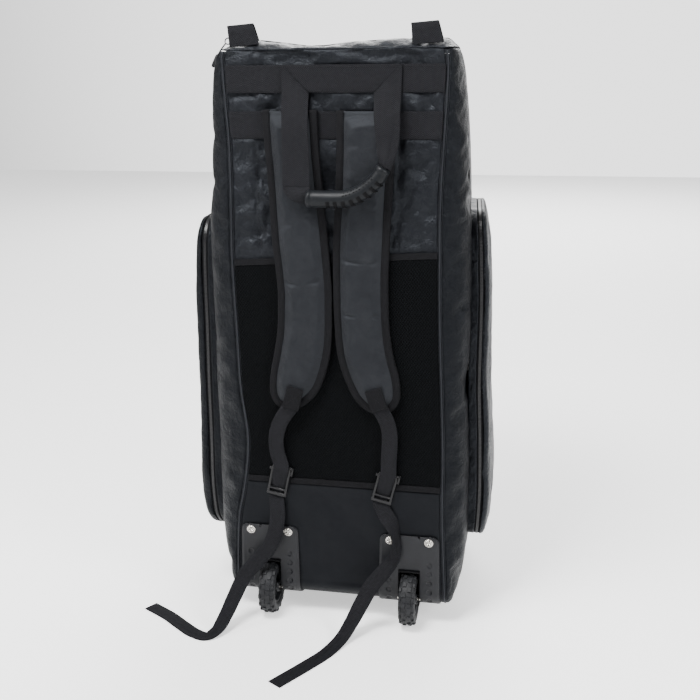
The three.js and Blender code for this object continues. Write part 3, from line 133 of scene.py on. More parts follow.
def reach_x(hand, z, depth=CORNER):
    """How far a side stands out. The right one runs inwards from its back corner to its front corner."""
    wide = HALF + BULGE * outline[hand][1](share_up(z))
    if hand > 0:
        ahead = np.clip((np.asarray(depth, float) - CORNER) / (DEPTH - 2 * CORNER), 0, 1)
        return wide - BULGE * np.interp(share_up(z), LEAN_UP, LEAN_IN) * ahead
    high = np.clip((np.asarray(z, float) - SHOULDER_Z) / 60, 0, 1)
    return -(wide - SHOULDER_IN * high * np.clip((80 - np.asarray(depth, float)) / 40, 0, 1))


def front_x(hand, z):
    return hand * (HALF - (TUCK if hand > 0 else 0) * share_up(z))


def across_back(z, share, inset=SEAM_GAP):
    return (seam_x(-1, z) + inset) * (1 - share) + (seam_x(1, z) - inset) * share


def heel_y(z):
    below = np.clip(BASE + HEEL - np.asarray(z, float), 0, HEEL)
    return HEEL - np.sqrt(HEEL ** 2 - below ** 2)


print("back width at half height", round(float(seam_x(1, 470) - seam_x(-1, 470)), 1), "mm")

# %% [markdown]
# Every sheet of fabric is a grid of points. One helper turns a grid into a mesh with a pattern
# map in real metres, so a weave or a stitch has the same size on every piece.

# %% From grids to pieces
def grid_faces(rows, columns, wrap=False):
    i, j = np.meshgrid(np.arange(rows - 1), np.arange(columns if wrap else columns - 1), indexing="ij")
    k = (j + 1) % columns
    faces = np.stack([i * columns + j, i * columns + k, (i + 1) * columns + k, (i + 1) * columns + j], -1)
    return faces.reshape(-1, 4)


def grid_map(grid):
    middle = grid.shape[1] // 2
    across = np.linalg.norm(np.diff(grid, axis=1), axis=2)
    along = np.linalg.norm(np.diff(grid, axis=0), axis=2)
    u = np.concatenate([np.zeros((grid.shape[0], 1)), np.cumsum(across, 1)], 1)
    v = np.concatenate([np.zeros((1, grid.shape[1])), np.cumsum(along, 0)], 0)
    return np.stack([u - u[:, [middle]], np.repeat(v[:, [middle]], grid.shape[1], 1)], -1) / 1000


def raw_mesh(name, points, faces=()):
    """A mesh from points in metres."""
    mesh = bpy.data.meshes.new(name)
    mesh.from_pydata(np.asarray(points).reshape(-1, 3).tolist(), [], [list(f) for f in faces])
    return mesh


def points_of(mesh):
    """A mesh's points in millimetres."""
    found = np.empty(len(mesh.vertices) * 3)
    mesh.vertices.foreach_get("co", found)
    return found.reshape(-1, 3) * 1000


def finish_piece(piece, body=BAG, nodes=()):
    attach(piece, body)
    if nodes:
        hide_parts(*nodes)
    return piece


def make_piece(name, points, faces, paint, nodes=(), pattern=None, body=BAG):
    mesh = raw_mesh(name, np.asarray(points).reshape(-1, 3) / 1000 + ORIGIN, faces)
    if pattern is not None:
        layer = mesh.uv_layers.new(name="pattern")
        corners = np.empty(len(mesh.loops), np.int32)
        mesh.loops.foreach_get("vertex_index", corners)
        layer.data.foreach_set("uv", np.asarray(pattern).reshape(-1, 2)[corners].ravel())
    mesh.materials.append(paint)
    mesh.shade_smooth()
    mesh.update()
    return finish_piece(add_object(name, mesh), body, nodes)


def finer(piece):
    step = piece.modifiers.new("finer", "SUBSURF")
    step.levels = step.render_levels = 1


def soften(piece, width, segments=2):
    edge = piece.modifiers.new("soft edge", "BEVEL")
    edge.width, edge.segments = width / 1000, segments
    edge.limit_method, edge.angle_limit = "ANGLE", math.radians(40)
    return piece


def sheet_piece(name, grid, thickness, paint, outward, nodes=(), faces=None, fine=False,
                pattern=None):
    grid = np.asarray(grid, float)
    over = np.cross(grid[:-1, 1:] - grid[:-1, :-1], grid[1:, :-1] - grid[:-1, :-1]).sum((0, 1))
    faces = grid_faces(*grid.shape[:2]) if faces is None else faces
    if np.dot(over, outward) < 0:
        faces = faces[:, ::-1]
    piece = make_piece(name, grid, faces, paint, nodes, grid_map(grid) if pattern is None else pattern)
    if fine:
        finer(piece)
    wall = piece.modifiers.new("wall", "SOLIDIFY")
    wall.thickness, wall.offset, wall.use_even_offset = thickness / 1000, -1.0, False
    return piece


print("piece helpers ready")

# %% [markdown]
# Wrinkles are moves of a panel's points along its outward side. Two kinds are enough here:
# soft ridges from a stretched noise, and single folds drawn as short lines where they are seen.

# %% Wrinkles
def ridges(points, size, stretch=(1, 1, 1), seed=0.0, sharp=1.0):
    flat = np.asarray(points, float).reshape(-1, 3) / (np.asarray(stretch) * size)
    found = np.array([noise.noise(Vector(p) + Vector((seed, seed * 1.7, seed * 0.6))) for p in flat])
    found = 1 - np.abs(found) * 2 if sharp != 1.0 else found
    return (np.sign(found) * np.abs(found) ** sharp).reshape(np.asarray(points).shape[:-1])


def flat_points(x, z):
    return np.stack([x, 0 * x, z], -1)


def fold(u, v, start, end, width, height):
    """A ridge along a line in the panel's own two directions, fading towards both ends."""
    a, b = np.array(start, float), np.array(end, float)
    along = b - a
    t = ((u - a[0]) * along[0] + (v - a[1]) * along[1]) / (along @ along)
    inside = np.clip(t, 0, 1)
    gap = np.hypot(u - a[0] - inside * along[0], v - a[1] - inside * along[1])
    fading = np.sin(np.clip(inside, 0.02, 0.98) * math.pi) ** 0.6
    return height * fading * (np.exp(-(gap / width) ** 2) - 0.45 * np.exp(-(gap / (2.2 * width)) ** 2))


def fade(distance, room):
    """0 at an edge and 1 from a distance inwards."""
    share = np.clip(distance / room, 0, 1)
    return share ** 2 * (3 - 2 * share)


print("a fold 4 mm high stands", round(float(fold(50, 0, (0, 0), (100, 0), 5, 4)), 1), "mm at its middle")

# %% [markdown]
# Real folds come from cloth that is a little too big for its frame. A short cloth simulation
# shows them: the sheet is held at its seams, grows by a few hundredths and buckles in between.
# The moves are then limited, so that the cloth stays in the space that the frame gives it.

# %% Slack cloth
CLOTH_FRAMES = 20


def cloth_run(points, faces, pins=(), grow=0.0, pressure=0.0, bend=0.4):
    """Points in millimetres after a short simulation without gravity."""
    holder = add_object("cloth_run", raw_mesh("cloth_run", np.asarray(points) / 1000, faces))
    step = holder.modifiers.new("cloth", "CLOTH")
    rules = step.settings
    if len(pins):
        holder.vertex_groups.new(name="pins").add([int(i) for i in pins], 1.0, "REPLACE")
        rules.vertex_group_mass = "pins"
    rules.quality, rules.mass, rules.bending_stiffness, rules.shrink_min = 5, 0.3, bend, -grow
    rules.effector_weights.gravity = 0
    if pressure:
        rules.use_pressure, rules.uniform_pressure_force = True, pressure
    step.collision_settings.use_collision = False
    for number in range(1, CLOTH_FRAMES + 1):
        bpy.context.scene.frame_set(number)
    found = points_of(holder.evaluated_get(bpy.context.evaluated_depsgraph_get()).to_mesh())
    bpy.data.objects.remove(holder)
    bpy.context.scene.frame_set(1)
    return found


def grid_normals(grid, outward):
    normal = np.cross(np.gradient(grid, axis=1), np.gradient(grid, axis=0))
    normal /= np.maximum(np.linalg.norm(normal, axis=-1, keepdims=True), 1e-9)
    return normal * np.sign((normal * np.asarray(outward, float)).sum())


def slacken(grid, pins, grow, most_in, most_out, outward, seed=0.0):
    """A grid of cloth that is slack between its pins, with folds up to a limit in and out."""
    grid = np.asarray(grid, float)
    normal = grid_normals(grid, outward)
    first = grid + normal * (ridges(grid, 33, seed=seed) * 1.3 * ~pins)[..., None]
    moved = cloth_run(first, grid_faces(*grid.shape[:2]), np.flatnonzero(pins), grow)
    step = moved.reshape(grid.shape) - grid
    out = (step * normal).sum(-1)
    kept = np.where(out > 0, most_out * np.tanh(out / most_out), most_in * np.tanh(out / most_in))
    along = step - out[..., None] * normal
    along *= np.minimum(1, 2.5 / np.maximum(np.linalg.norm(along, axis=-1, keepdims=True), 1e-6))
    return grid + normal * kept[..., None] + along


def rim_pins(shape, *more):
    pins = np.zeros(shape[:2], bool)
    pins[0] = pins[-1] = pins[:, 0] = pins[:, -1] = True
    for mask in more:
        pins |= mask
    return pins


print("slack cloth ready,", CLOTH_FRAMES, "frames each")

# %% [markdown]
# A procedural material is a small graph of nodes. These helpers keep each graph short: one makes
# a node with its settings, one joins two sockets, and one gives a height pattern to the surface.

# %% Material helpers
def shader_of(paint):
    return paint.node_tree.nodes["Principled BSDF"]


def new_material(name, color, roughness, **sockets):
    paint = bpy.data.materials.new(name)
    paint.use_nodes = True
    shader_of(paint).inputs["Base Color"].default_value = (*color, 1)
    shader_of(paint).inputs["Roughness"].default_value = roughness
    for socket, value in sockets.items():
        shader_of(paint).inputs[socket.replace("_", " ")].default_value = value
    return paint


def node(paint, kind, values=None, **settings):
    made = paint.node_tree.nodes.new(kind)
    for key, value in settings.items():
        setattr(made, key, value)
    for key, value in (values or {}).items():
        made.inputs[key].default_value = value
    return made


def join(paint, source, target):
    paint.node_tree.links.new(source, target)


def coordinates(paint, scale=(1, 1, 1), turn=(0, 0, 0), kind="Object"):
    mapping = node(paint, "ShaderNodeMapping", {"Scale": scale, "Rotation": turn})
    join(paint, node(paint, "ShaderNodeTexCoord").outputs[kind], mapping.inputs["Vector"])
    return mapping.outputs["Vector"]


def math_node(paint, operation, *values):
    made = node(paint, "ShaderNodeMath", operation=operation)
    for socket, value in zip(made.inputs, values):
        if isinstance(value, (int, float)):
            socket.default_value = value
        else:
            join(paint, value, socket)
    return made.outputs[0]


def bump(paint, height, strength, distance, before=None):
    made = node(paint, "ShaderNodeBump", {"Strength": strength, "Distance": distance})
    join(paint, height, made.inputs["Height"])
    if before is not None:
        join(paint, before, made.inputs["Normal"])
    return made.outputs["Normal"]


def wear_normal(paint, normal):
    join(paint, normal, shader_of(paint).inputs["Normal"])


def two_tones(paint, factor, dark, light):
    mix = node(paint, "ShaderNodeMix", {6: (*dark, 1), 7: (*light, 1)}, data_type="RGBA")
    join(paint, factor, mix.inputs[0])
    join(paint, mix.outputs[2], shader_of(paint).inputs["Base Color"])


def noise_height(paint, vector, scale, detail=4.0, rough=0.55, twist=0.0, **settings):
    made = node(paint, "ShaderNodeTexNoise", {
        "Scale": scale, "Detail": detail, "Roughness": rough, "Distortion": twist}, **settings)
    join(paint, vector, made.inputs["Vector"])
    return made.outputs["Fac"]


print("material helpers ready")

# %% [markdown]
# The bag's fabric is black polyester with a shiny coating. Close up it shows a fine square weave,
# from further off it shows small crinkles that catch the light. Noise gives the crinkles, two
# waves across each other give the weave, and the colour drifts a little between blue and grey.

# %% Fabric, webbing, mesh and coated sheet
def weave_height(paint, vector, direction):
    made = node(paint, "ShaderNodeTexWave", {"Scale": 420, "Distortion": 0.0},
                wave_type="BANDS", bands_direction=direction, wave_profile="SIN")
    join(paint, vector, made.inputs["Vector"])
    return made.outputs["Fac"]


def crumple_height(paint, vector, scale):
    """Flat facets that meet in crisp edges, as in thin coated cloth that was folded."""
    push = node(paint, "ShaderNodeTexNoise", {"Scale": scale * 0.7, "Detail": 3.0})
    join(paint, vector, push.inputs["Vector"])
    moved = node(paint, "ShaderNodeVectorMath", {1: (1.1 / scale,) * 3, 2: (0.5 / scale,) * 3},
                 operation="MULTIPLY_ADD")
    join(paint, push.outputs["Color"], moved.inputs[0])
    join(paint, vector, moved.inputs[2])
    turned = node(paint, "ShaderNodeMapping", {"Rotation": (0, 0.6, 0), "Scale": (1, 1, 0.6)})
    join(paint, moved.outputs[0], turned.inputs["Vector"])
    cells = node(paint, "ShaderNodeTexVoronoi", {"Scale": scale, "Detail": 2.0, "Roughness": 0.45},
                 feature="F1", normalize=True)
    join(paint, turned.outputs["Vector"], cells.inputs["Vector"])
    return cells.outputs["Distance"]


def make_fabric(name, dark, light, roughness, crinkle, weave=0.25, specular=0.15, sheen=0.0, facets=22,
                kind="UV"):
    paint = new_material(name, dark, roughness, Specular_IOR_Level=specular,
                         Specular_Tint=(0.82, 0.9, 1, 1), Sheen_Weight=sheen, Sheen_Roughness=0.35)
    place, flat = coordinates(paint), coordinates(paint, kind=kind)
    small, cloud = noise_height(paint, place, 90, 6, 0.62, 0.6), noise_height(paint, place, 16, 4, 0.6, 0.8)
    two_tones(paint, math_node(paint, "MULTIPLY", small, cloud), dark, light)
    crease = noise_height(paint, coordinates(paint, (1.25, 1.25, 0.5), (0, 0.75, 0)), facets * 1.1,
                          4.0, 0.5, 0.7, noise_type="RIDGED_MULTIFRACTAL")
    up = "Y" if kind == "UV" else "Z"
    threads = math_node(paint, "ADD", weave_height(paint, flat, "X"), weave_height(paint, flat, up))
    normal = bump(paint, crumple_height(paint, place, facets), 0.8, 0.008 * crinkle)
    normal = bump(paint, crease, 0.8, 0.0065 * crinkle, normal)
    normal = bump(paint, small, 0.6, 0.004 * crinkle, normal)
    wear_normal(paint, bump(paint, threads, weave, 0.00015, normal))
    return paint


def make_webbing(name, dark, light, pitch=2.7, depth=0.0005):
    """Twill: short ribs that lean one way and then the other, like a herringbone."""
    paint = new_material(name, dark, 0.8, Specular_IOR_Level=0.08)
    parts = node(paint, "ShaderNodeSeparateXYZ")
    join(paint, coordinates(paint, kind="UV"), parts.inputs[0])
    lean = math_node(paint, "PINGPONG", parts.outputs[0], pitch / 1000 * 2.0)
    slant = math_node(paint, "ADD", parts.outputs[1], lean)
    ribs = math_node(paint, "SINE", math_node(paint, "MULTIPLY", slant, 2 * math.pi / (pitch / 1000)))
    grain = noise_height(paint, coordinates(paint), 240, 6, 0.8)
    tone = math_node(paint, "MULTIPLY_ADD", ribs, 0.5, 0.6)
    two_tones(paint, math_node(paint, "MULTIPLY", tone, grain), dark, light)
    wear_normal(paint, bump(paint, ribs, 0.6, depth, bump(paint, grain, 0.3, 0.0003)))
    return paint


def make_mesh(name, thread, hole, pitch):
    """Warp-knitted mesh: round holes set in diagonal rows, darker than the yarn round them. The hole colour is the
    dark cloth behind plus painted shade.
    """
    paint = new_material(name, thread, 0.75, Specular_IOR_Level=0.05)
    size = 1000 / pitch
    flat = coordinates(paint, (size * 1.35, size, size), (0, 0, math.radians(45)), "UV")
    cells = node(paint, "ShaderNodeTexVoronoi", {"Scale": 1.0, "Randomness": 0.0}, feature="F1")
    join(paint, flat, cells.inputs["Vector"])
    ring = node(paint, "ShaderNodeMapRange", {"From Min": 0.3, "From Max": 0.46, "To Min": 0, "To Max": 1})
    join(paint, cells.outputs["Distance"], ring.inputs["Value"])
    two_tones(paint, ring.outputs[0], hole, thread)
    wear_normal(paint, bump(paint, ring.outputs[0], 1.0, 0.0012))
    return paint


FABRIC = make_fabric("fabric", (0.0008, 0.0008, 0.0012), (0.0115, 0.0119, 0.015), 0.4, 1.5, facets=15)
# A darker copy of the same fabric, painted shade, for the sides, the front and the left pocket.
SHADED_SIDE_FABRIC = make_fabric("side_fabric_painted_shade", (0.0006, 0.0006, 0.0009), (0.0075, 0.0078, 0.0096), 0.42, 1.5,
                          specular=0.1, facets=14)
PADDING = make_fabric("padding", (0.0044, 0.0046, 0.0055), (0.0205, 0.0212, 0.024), 0.46, 0.5,
                      0.5, 0.12, 0.02, 14, "Object")
WEBBING = make_webbing("webbing", (0.0002, 0.0002, 0.0003), (0.023, 0.0232, 0.0275))
BINDING = make_webbing("binding", (0.0006, 0.0006, 0.0008), (0.0135, 0.0135, 0.0158), 1.2, 0.0002)
# The near-black hole colour is the dark cloth behind the mesh plus painted shade.
NET = make_mesh("net", (0.0012, 0.0017, 0.0024), (0.0001, 0.0001, 0.0001), 4.3)
COATED = make_fabric("coated", (0.0016, 0.0016, 0.002), (0.0062, 0.0062, 0.0075), 0.46, 0.08,
                     0.35, 0.1, facets=8)
PIPING = make_fabric("piping", (0.006, 0.0062, 0.0074), (0.018, 0.0188, 0.0215), 0.42, 0.05, 0.3)
print("soft finishes", len(bpy.data.materials))

# %% [markdown]
# Moulded plastic has a fine, even grain. Rubber is duller and collects grey dust on its edges.
# Nickel is a clean metal with slight scratches. All three come from noise at different sizes.

# %% Plastic, rubber, steel and thread
def make_moulded(name, dark, light, roughness, grain, depth, specular=0.5, metallic=0.0):
    paint = new_material(name, dark, roughness, Specular_IOR_Level=specular, Metallic=metallic)
    place = coordinates(paint)
    fine = noise_height(paint, place, grain, 3, 0.6)
    two_tones(paint, math_node(paint, "MULTIPLY", fine, noise_height(paint, place, 35, 4, 0.6)), dark, light)
    wear_normal(paint, bump(paint, fine, 0.5, depth))
    return paint


PLASTIC = make_moulded("plastic", (0.0028, 0.003, 0.0038), (0.019, 0.0198, 0.0235), 0.42, 1800, 0.0002, 0.2)
GLOSS = make_moulded("gloss_plastic", (0.002, 0.002, 0.0024), (0.006, 0.006, 0.007), 0.3, 700, 0.00008, 0.25)
RUBBER = make_moulded("rubber", (0.003, 0.0032, 0.0038), (0.03, 0.031, 0.0345), 0.56, 900, 0.0003, 0.18)
GRIP = make_moulded("grip", (0.003, 0.0035, 0.0043), (0.012, 0.0132, 0.0155), 0.46, 1200, 0.0002, 0.12)
# Near black, far darker than the grip's rubber: painted shade for the grip's cuts and holes.
SLOT_SHADE = make_moulded("slot", (0.001, 0.001, 0.0014), (0.004, 0.004, 0.0046), 0.7, 900, 0.0001, 0.1)
STEEL = make_moulded("steel", (0.34, 0.325, 0.3), (0.62, 0.6, 0.56), 0.26, 500, 0.00005, metallic=1.0)
GUNMETAL = make_moulded("gunmetal", (0.03, 0.03, 0.033), (0.1, 0.1, 0.105), 0.34, 500, 0.00005, metallic=1.0)
# Near black, darker than the plate's plastic: painted shade inside the wheel's recess.
WELL_SHADE = make_moulded("well", (0.001, 0.001, 0.0012), (0.004, 0.004, 0.005), 0.6, 900, 0.0002, 0.08)
THREAD = make_moulded("thread", (0.0025, 0.0025, 0.003), (0.014, 0.014, 0.016), 0.7, 1500, 0.0001, 0.15)
TEETH = make_moulded("teeth", (0.003, 0.003, 0.0036), (0.013, 0.013, 0.015), 0.35, 1500, 0.0001)
print("finishes", len(bpy.data.materials))

# %% [markdown]
# Stitches, zip teeth and other small things repeat along a line. One Geometry Nodes tree does them
# all: it takes a curve, sets points at an even spacing, turns a small body along the curve and
# ends with plain geometry and a material. Its inputs are the real sizes.

# %% A tree that repeats a body along a line
def grow_tree(name, inputs, parts, links, settings=()):
    """A tree of copies from tables: inputs and nodes by label, and links as source > target."""
    tree = bpy.data.node_groups.new(name, "GeometryNodeTree")
    for label, kind in {**inputs, "Finish": "Material"}.items():
        tree.interface.new_socket(label, in_out="INPUT", socket_type="NodeSocket" + kind)
    tree.interface.new_socket("Result", in_out="OUTPUT", socket_type="NodeSocketGeometry")
    common = {"given": "NodeGroupInput", "result": "NodeGroupOutput", "copies": "GeometryNodeInstanceOnPoints",
              "plain": "GeometryNodeRealizeInstances", "finish": "GeometryNodeSetMaterial"}
    made = {label: tree.nodes.new(kind) for label, kind in {**common, **parts}.items()}
    for label, key, value in settings:
        setattr(made[label], key, value)
    links += """ copies.Instances>plain.Geometry plain.Geometry>finish.Geometry
        given.Finish>finish.Material finish.Geometry>result.0"""

    def socket(sockets, label):
        return sockets[int(label) if label.isdigit() else label]
    for pair in links.split():
        (a, out), (b, into) = (end.split(".") for end in pair.split(">"))
        tree.links.new(socket(made[a].outputs, out), socket(made[b].inputs, into))
    return tree, made


ALIGN = "FunctionNodeAlignRotationToVector"
ALONG, made = grow_tree("repeat_along", {
    "Line": "Geometry", "Spacing": "Float", "Size": "Vector", "Across": "Vector", "Boxy": "Bool"}, {
    "points": "GeometryNodeCurveToPoints", "first": ALIGN, "second": ALIGN, "choice": "GeometryNodeSwitch",
    "ball": "GeometryNodeMeshIcoSphere", "block": "GeometryNodeMeshCube"},
    """given.Line>points.Curve given.Spacing>points.Length points.Tangent>first.Vector
    first.Rotation>second.Rotation given.Across>second.Vector given.Boxy>choice.Switch
    ball.Mesh>choice.False block.Mesh>choice.True points.Points>copies.Points choice.0>copies.Instance
    second.Rotation>copies.Rotation given.Size>copies.Scale""",
    [("points", "mode", "LENGTH"), ("choice", "input_type", "GEOMETRY")])
made["first"].axis, made["second"].axis, made["second"].pivot_axis = "X", "Y", "X"
made["ball"].inputs["Radius"].default_value, made["ball"].inputs["Subdivisions"].default_value = 0.5, 1


def line_object(lines, name, closed=False):
    data = bpy.data.curves.new(name, "CURVE")
    data.dimensions = "3D"
    for line in lines:
        line = np.asarray(line, float) / 1000 + ORIGIN
        spline = data.splines.new("POLY")
        spline.points.add(len(line) - 1)
        spline.points.foreach_set("co", np.c_[line, np.ones(len(line))].ravel())
        spline.use_cyclic_u = closed
    return add_object(name, data)


def settle(holder, tree, values, name):
    """Runs a tree on an object and keeps the result as one plain mesh."""
    step = holder.modifiers.new("tree", "NODES")
    step.node_group = tree
    for item in tree.interface.items_tree:
        if item.in_out == "INPUT" and item.name in values:
            step[item.identifier] = values[item.name]
    graph = bpy.context.evaluated_depsgraph_get()
    mesh = bpy.data.meshes.new_from_object(holder.evaluated_get(graph))
    mesh.name = name
    holder.modifiers.remove(step)
    bpy.data.objects.remove(holder)
    return add_object(name, mesh)


def repeat_along(name, lines, spacing, size, across, finish, boxy=False, closed=False):
    values = {"Spacing": spacing / 1000, "Size": Vector(size) / 1000, "Across": Vector(across),
              "Boxy": boxy, "Finish": finish}
    piece = finish_piece(settle(line_object(lines, name, closed), ALONG, values, name))
    print(name, len(piece.data.polygons), "faces")
    return piece


def stitches(name, lines, length=2.6, spacing=3.6, thick=0.55):
    return repeat_along(name, lines, spacing, (length, thick, thick), (0, 1, 0), THREAD)


# %% [markdown]
# The body is a shell of six sewn panels. Each level section runs flat across the back, turns round
# a soft corner, runs along the side and turns again at the front. The side panels take that
# section at many heights. They are lofted, not box-modelled, because the sides lean and swell.

# %% Side panels
CLOTH, EDGE = 1.6, 2.3


def section(hand, z, corner_steps=7, flat_steps=44):
    """Points of one side from the back seam to the front seam, for an array of heights."""
    turn = np.linspace(0, math.pi / 2, corner_steps + 1)
    flat = np.linspace(CORNER, DEPTH - CORNER, flat_steps + 1)[1:-1]
    z = np.asarray(z, float)[:, None]
    start = heel_y(z)
    near = start + (CORNER - start) * (1 - np.cos(turn))
    far = DEPTH - CORNER * (1 - np.cos(turn[::-1]))
    depth = np.concatenate([near, np.repeat(flat[None], len(z), 0), np.repeat(far[None], len(z), 0)], 1)
    out = np.concatenate([np.sin(turn), np.ones(len(flat)), np.sin(turn[::-1])])
    back_seam, front_seam = np.abs(seam_x(hand, z)) + SEAM_GAP, np.abs(front_x(hand, z)) + 0.3
    start_x = np.where(np.arange(depth.shape[1]) < corner_steps + len(flat) // 2, back_seam, front_seam)
    wide = start_x + (np.abs(reach_x(hand, z, depth)) - start_x) * out
    return np.stack([hand * wide, depth, np.repeat(z, depth.shape[1], 1)], -1)


def make_side(hand, side):
    grid = section(hand, np.linspace(BASE + EDGE, TOP - EDGE, 128))
    depth, height = grid[..., 1], grid[..., 2]
    under = (depth > 46) & (depth < 294) & (height > 95) & (height < 690)
    pins = rim_pins(grid.shape, (np.abs(depth - ZIP_DEPTH) < 15) & (height > 700))
    out = np.where(under, 0.5, 2.2 if hand > 0 else 0.8)
    grid = slacken(grid, pins, 0.022, np.where(under, 2.5, 6.0), out, (hand, 0, 0), seed=3.1 * hand)
    edge = fade(np.minimum(depth - heel_y(height), DEPTH - depth), 14)
    crisp = 1.4 * ridges(np.stack([0 * depth, depth, height + depth], -1), 38, (1, 1.1, 0.7), 4.0 + hand, 1.4)
    grid[..., 0] += hand * edge * np.clip(crisp, -2.2, 0.9) * np.where(under, 0.4, 1)
    if hand > 0:
        for z in (880, 852, 822, 796, 770, 742, 716, 690):
            grid[..., 0] += edge * fold(depth, height, (6, z - 30), (48, z + 14), 4.5, 4.2)
    return sheet_piece(f"side_{side}", grid, CLOTH, SHADED_SIDE_FABRIC, (hand, 0, 0), [f"side_panel_{side}"], fine=True)


print("side panels", [len(make_side(hand, side).data.polygons) for hand, side in SIDES])

# %% [markdown]
# The back panel lies behind the straps. Two rows of quilting pull it in, and between them the
# cloth puckers. Here the rows are grooves, and the puckers are short waves that fade away from
# each row. A few long diagonal folds cross the right side, where the bag sags.

# %% Back panel
QUILT = (-121.0, 96.0)
BACK_FOLDS = (
    ((150, 800), (88, 690), 8, 4.0), ((156, 765), (104, 660), 7, 3.4), ((156, 720), (96, 640), 8, 3.4),
    ((140, 808), (96, 760), 6, 2.4), ((-148, 800), (-110, 700), 8, 2.6), ((-150, 720), (-104, 640), 8, 2.6),
    ((20, 846), (-14, 829), 5, 3.6), ((40, 846), (56, 829), 5, 3.0), ((-150, 844), (-96, 832), 5, 3.4),
    ((150, 846), (100, 830), 6, 4.0), ((118, 845), (66, 836), 5, 2.6), ((-20, 770), (14, 690), 6, 3.0))


def back_wrinkles(x, z):
    move = 1.9 * ridges(flat_points(x, z), 46, (1.25, 1, 0.8), 1.3, 1.4)
    move += 1.2 * ridges(np.stack([x + 0.6 * z, 0 * x, z], -1), 24, (1.2, 1, 1), 5.2, 1.3)
    for line in QUILT:
        from_line = np.abs(x - line)
        drift = 2.2 * ridges(flat_points(0 * x, z), 60, seed=line / 50)
        waves = np.sin(z * 2 * math.pi / 27 + drift + from_line * 0.09)
        move += 2.6 * waves * np.exp(-from_line / 20) * np.clip(from_line / 7, 0, 1)
        move -= 2.2 * np.exp(-((x - line) / 3.2) ** 2)
    for start, end, width, height in BACK_FOLDS:
        move += fold(x, z, start, end, width, height)
    return move


def make_back():
    z = np.linspace(233.0, TOP - EDGE, 152)[:, None]
    x = across_back(z, np.linspace(0, 1, 76))
    z = np.repeat(z, x.shape[1], 1)
    quilted = np.zeros(x.shape, bool)
    for line in QUILT:
        column = np.abs(x - line)
        quilted |= (column == column.min(axis=1, keepdims=True)) & (z > 600) & (z < 785)
    hem_top = 606 + 19 * (x - x[:, :1]) / 330
    taped = (np.abs(z - 803) < 20) | (np.abs(z - 869) < 20) | (z < hem_top)
    grid = np.stack([x, np.full_like(x, 0.6), z], -1)
    most_in, most_out = np.where(taped, 1.5, 6.5), np.where(taped, 0.2, 2.4)
    grid = slacken(grid, rim_pins(grid.shape, quilted), 0.03, most_in, most_out, (0, -1, 0), seed=1.3)
    edge = fade(np.minimum(x - x[:, :1], x[:, -1:] - x), 12)
    move = back_wrinkles(x, z) * edge * np.where(taped, 0.1, 1)
    grid[..., 1] = np.maximum(grid[..., 1] - np.clip(move, -5, 2.8), np.where(taped, 0.3, -3.2))
    return sheet_piece("back_cloth", grid, 1.4, FABRIC, (0, -1, 0), ["back_panel"], fine=True)


back_cloth = make_back()
stitches("quilting", [[(x, -1.2, z) for z in np.linspace(612, 772, 60)] for x in QUILT], 3.4, 5.0, 0.7)

# %% [markdown]
# The top end is domed between its seams and sags a little left of the middle, because nothing
# fills the bag there. It is a sheet over the same rounded plan as the sides. The base is a plain
# sheet, and the front swells a little, because it is the biggest panel without a stiffener.

# %% Top, base and front panels
TOP_ACROSS = [-1, -.93, -.7, -.48, -.3, -.15, .05, .35, .65, .92, 1]
TOP_RISE = [0, .55, .97, .62, .3, .32, .6, .86, .97, .95, 0]
DOME, BASE_START = 13, 120.3


def top_z(share, depth):
    roll = np.clip(np.minimum(depth, DEPTH - depth) / 30, 0, 1)
    return TOP + np.interp(share, TOP_ACROSS, TOP_RISE) * DOME * (1 - (1 - roll) ** 2)


def plan_grid(z, shares, start=0.0, steps=46):
    depth = np.concatenate([[0, 1.5, 4, 8, 14, 22, 31], np.linspace(40, 300, steps),
                            [309, 318, 326, 332, 336, 338.5, 340]])
    depth = depth[depth >= start]
    sides = {hand: section(hand, [z], 30, 160)[0] for hand in (-1, 1)}
    lines = [(share, sides[-1 if share < 0 else 1]) for share in shares]
    columns = [np.abs(share) * np.interp(depth, line[:, 1], line[:, 0]) for share, line in lines]
    return np.stack(columns, 1), np.repeat(depth[:, None], len(shares), 1)


def make_top():
    shares = np.linspace(-1, 1, 90)
    x, y = plan_grid(TOP - 0.4, shares, steps=40)
    share = np.repeat(shares[None], x.shape[0], 0)
    grid = np.stack([x, y, top_z(share, y)], -1)
    pins = rim_pins(grid.shape, np.abs(y - ZIP_DEPTH) < 17, np.abs(share) > 0.95)
    grid = slacken(grid, pins, 0.02, 4.0, 1.6, (0, 0, 1), seed=4.4)
    loose = fade(1 - np.abs(share), 0.12) * fade(np.minimum(y, DEPTH - y), 12)
    grid[..., 2] += loose * (fold(x, y, (60, 12), (150, 40), 8, 3) + fold(x, y, (-20, 8), (-110, 60), 9, 3))
    return sheet_piece("top_cloth", grid, CLOTH, FABRIC, (0, 0, 1), ["top_panel"], fine=True)


def make_base():
    shares = np.linspace(-1, 1, 60)
    x, y = plan_grid(BASE, shares, BASE_START)
    edge = fade(1 - np.abs(np.repeat(shares[None], x.shape[0], 0)), 0.1)
    z = BASE + edge * 0.8 * (1 + ridges(np.stack([x, y, 0 * x], -1), 60))
    return sheet_piece("base_cloth", np.stack([x, y, z], -1), CLOTH, COATED, (0, 0, -1), ["base_panel"])


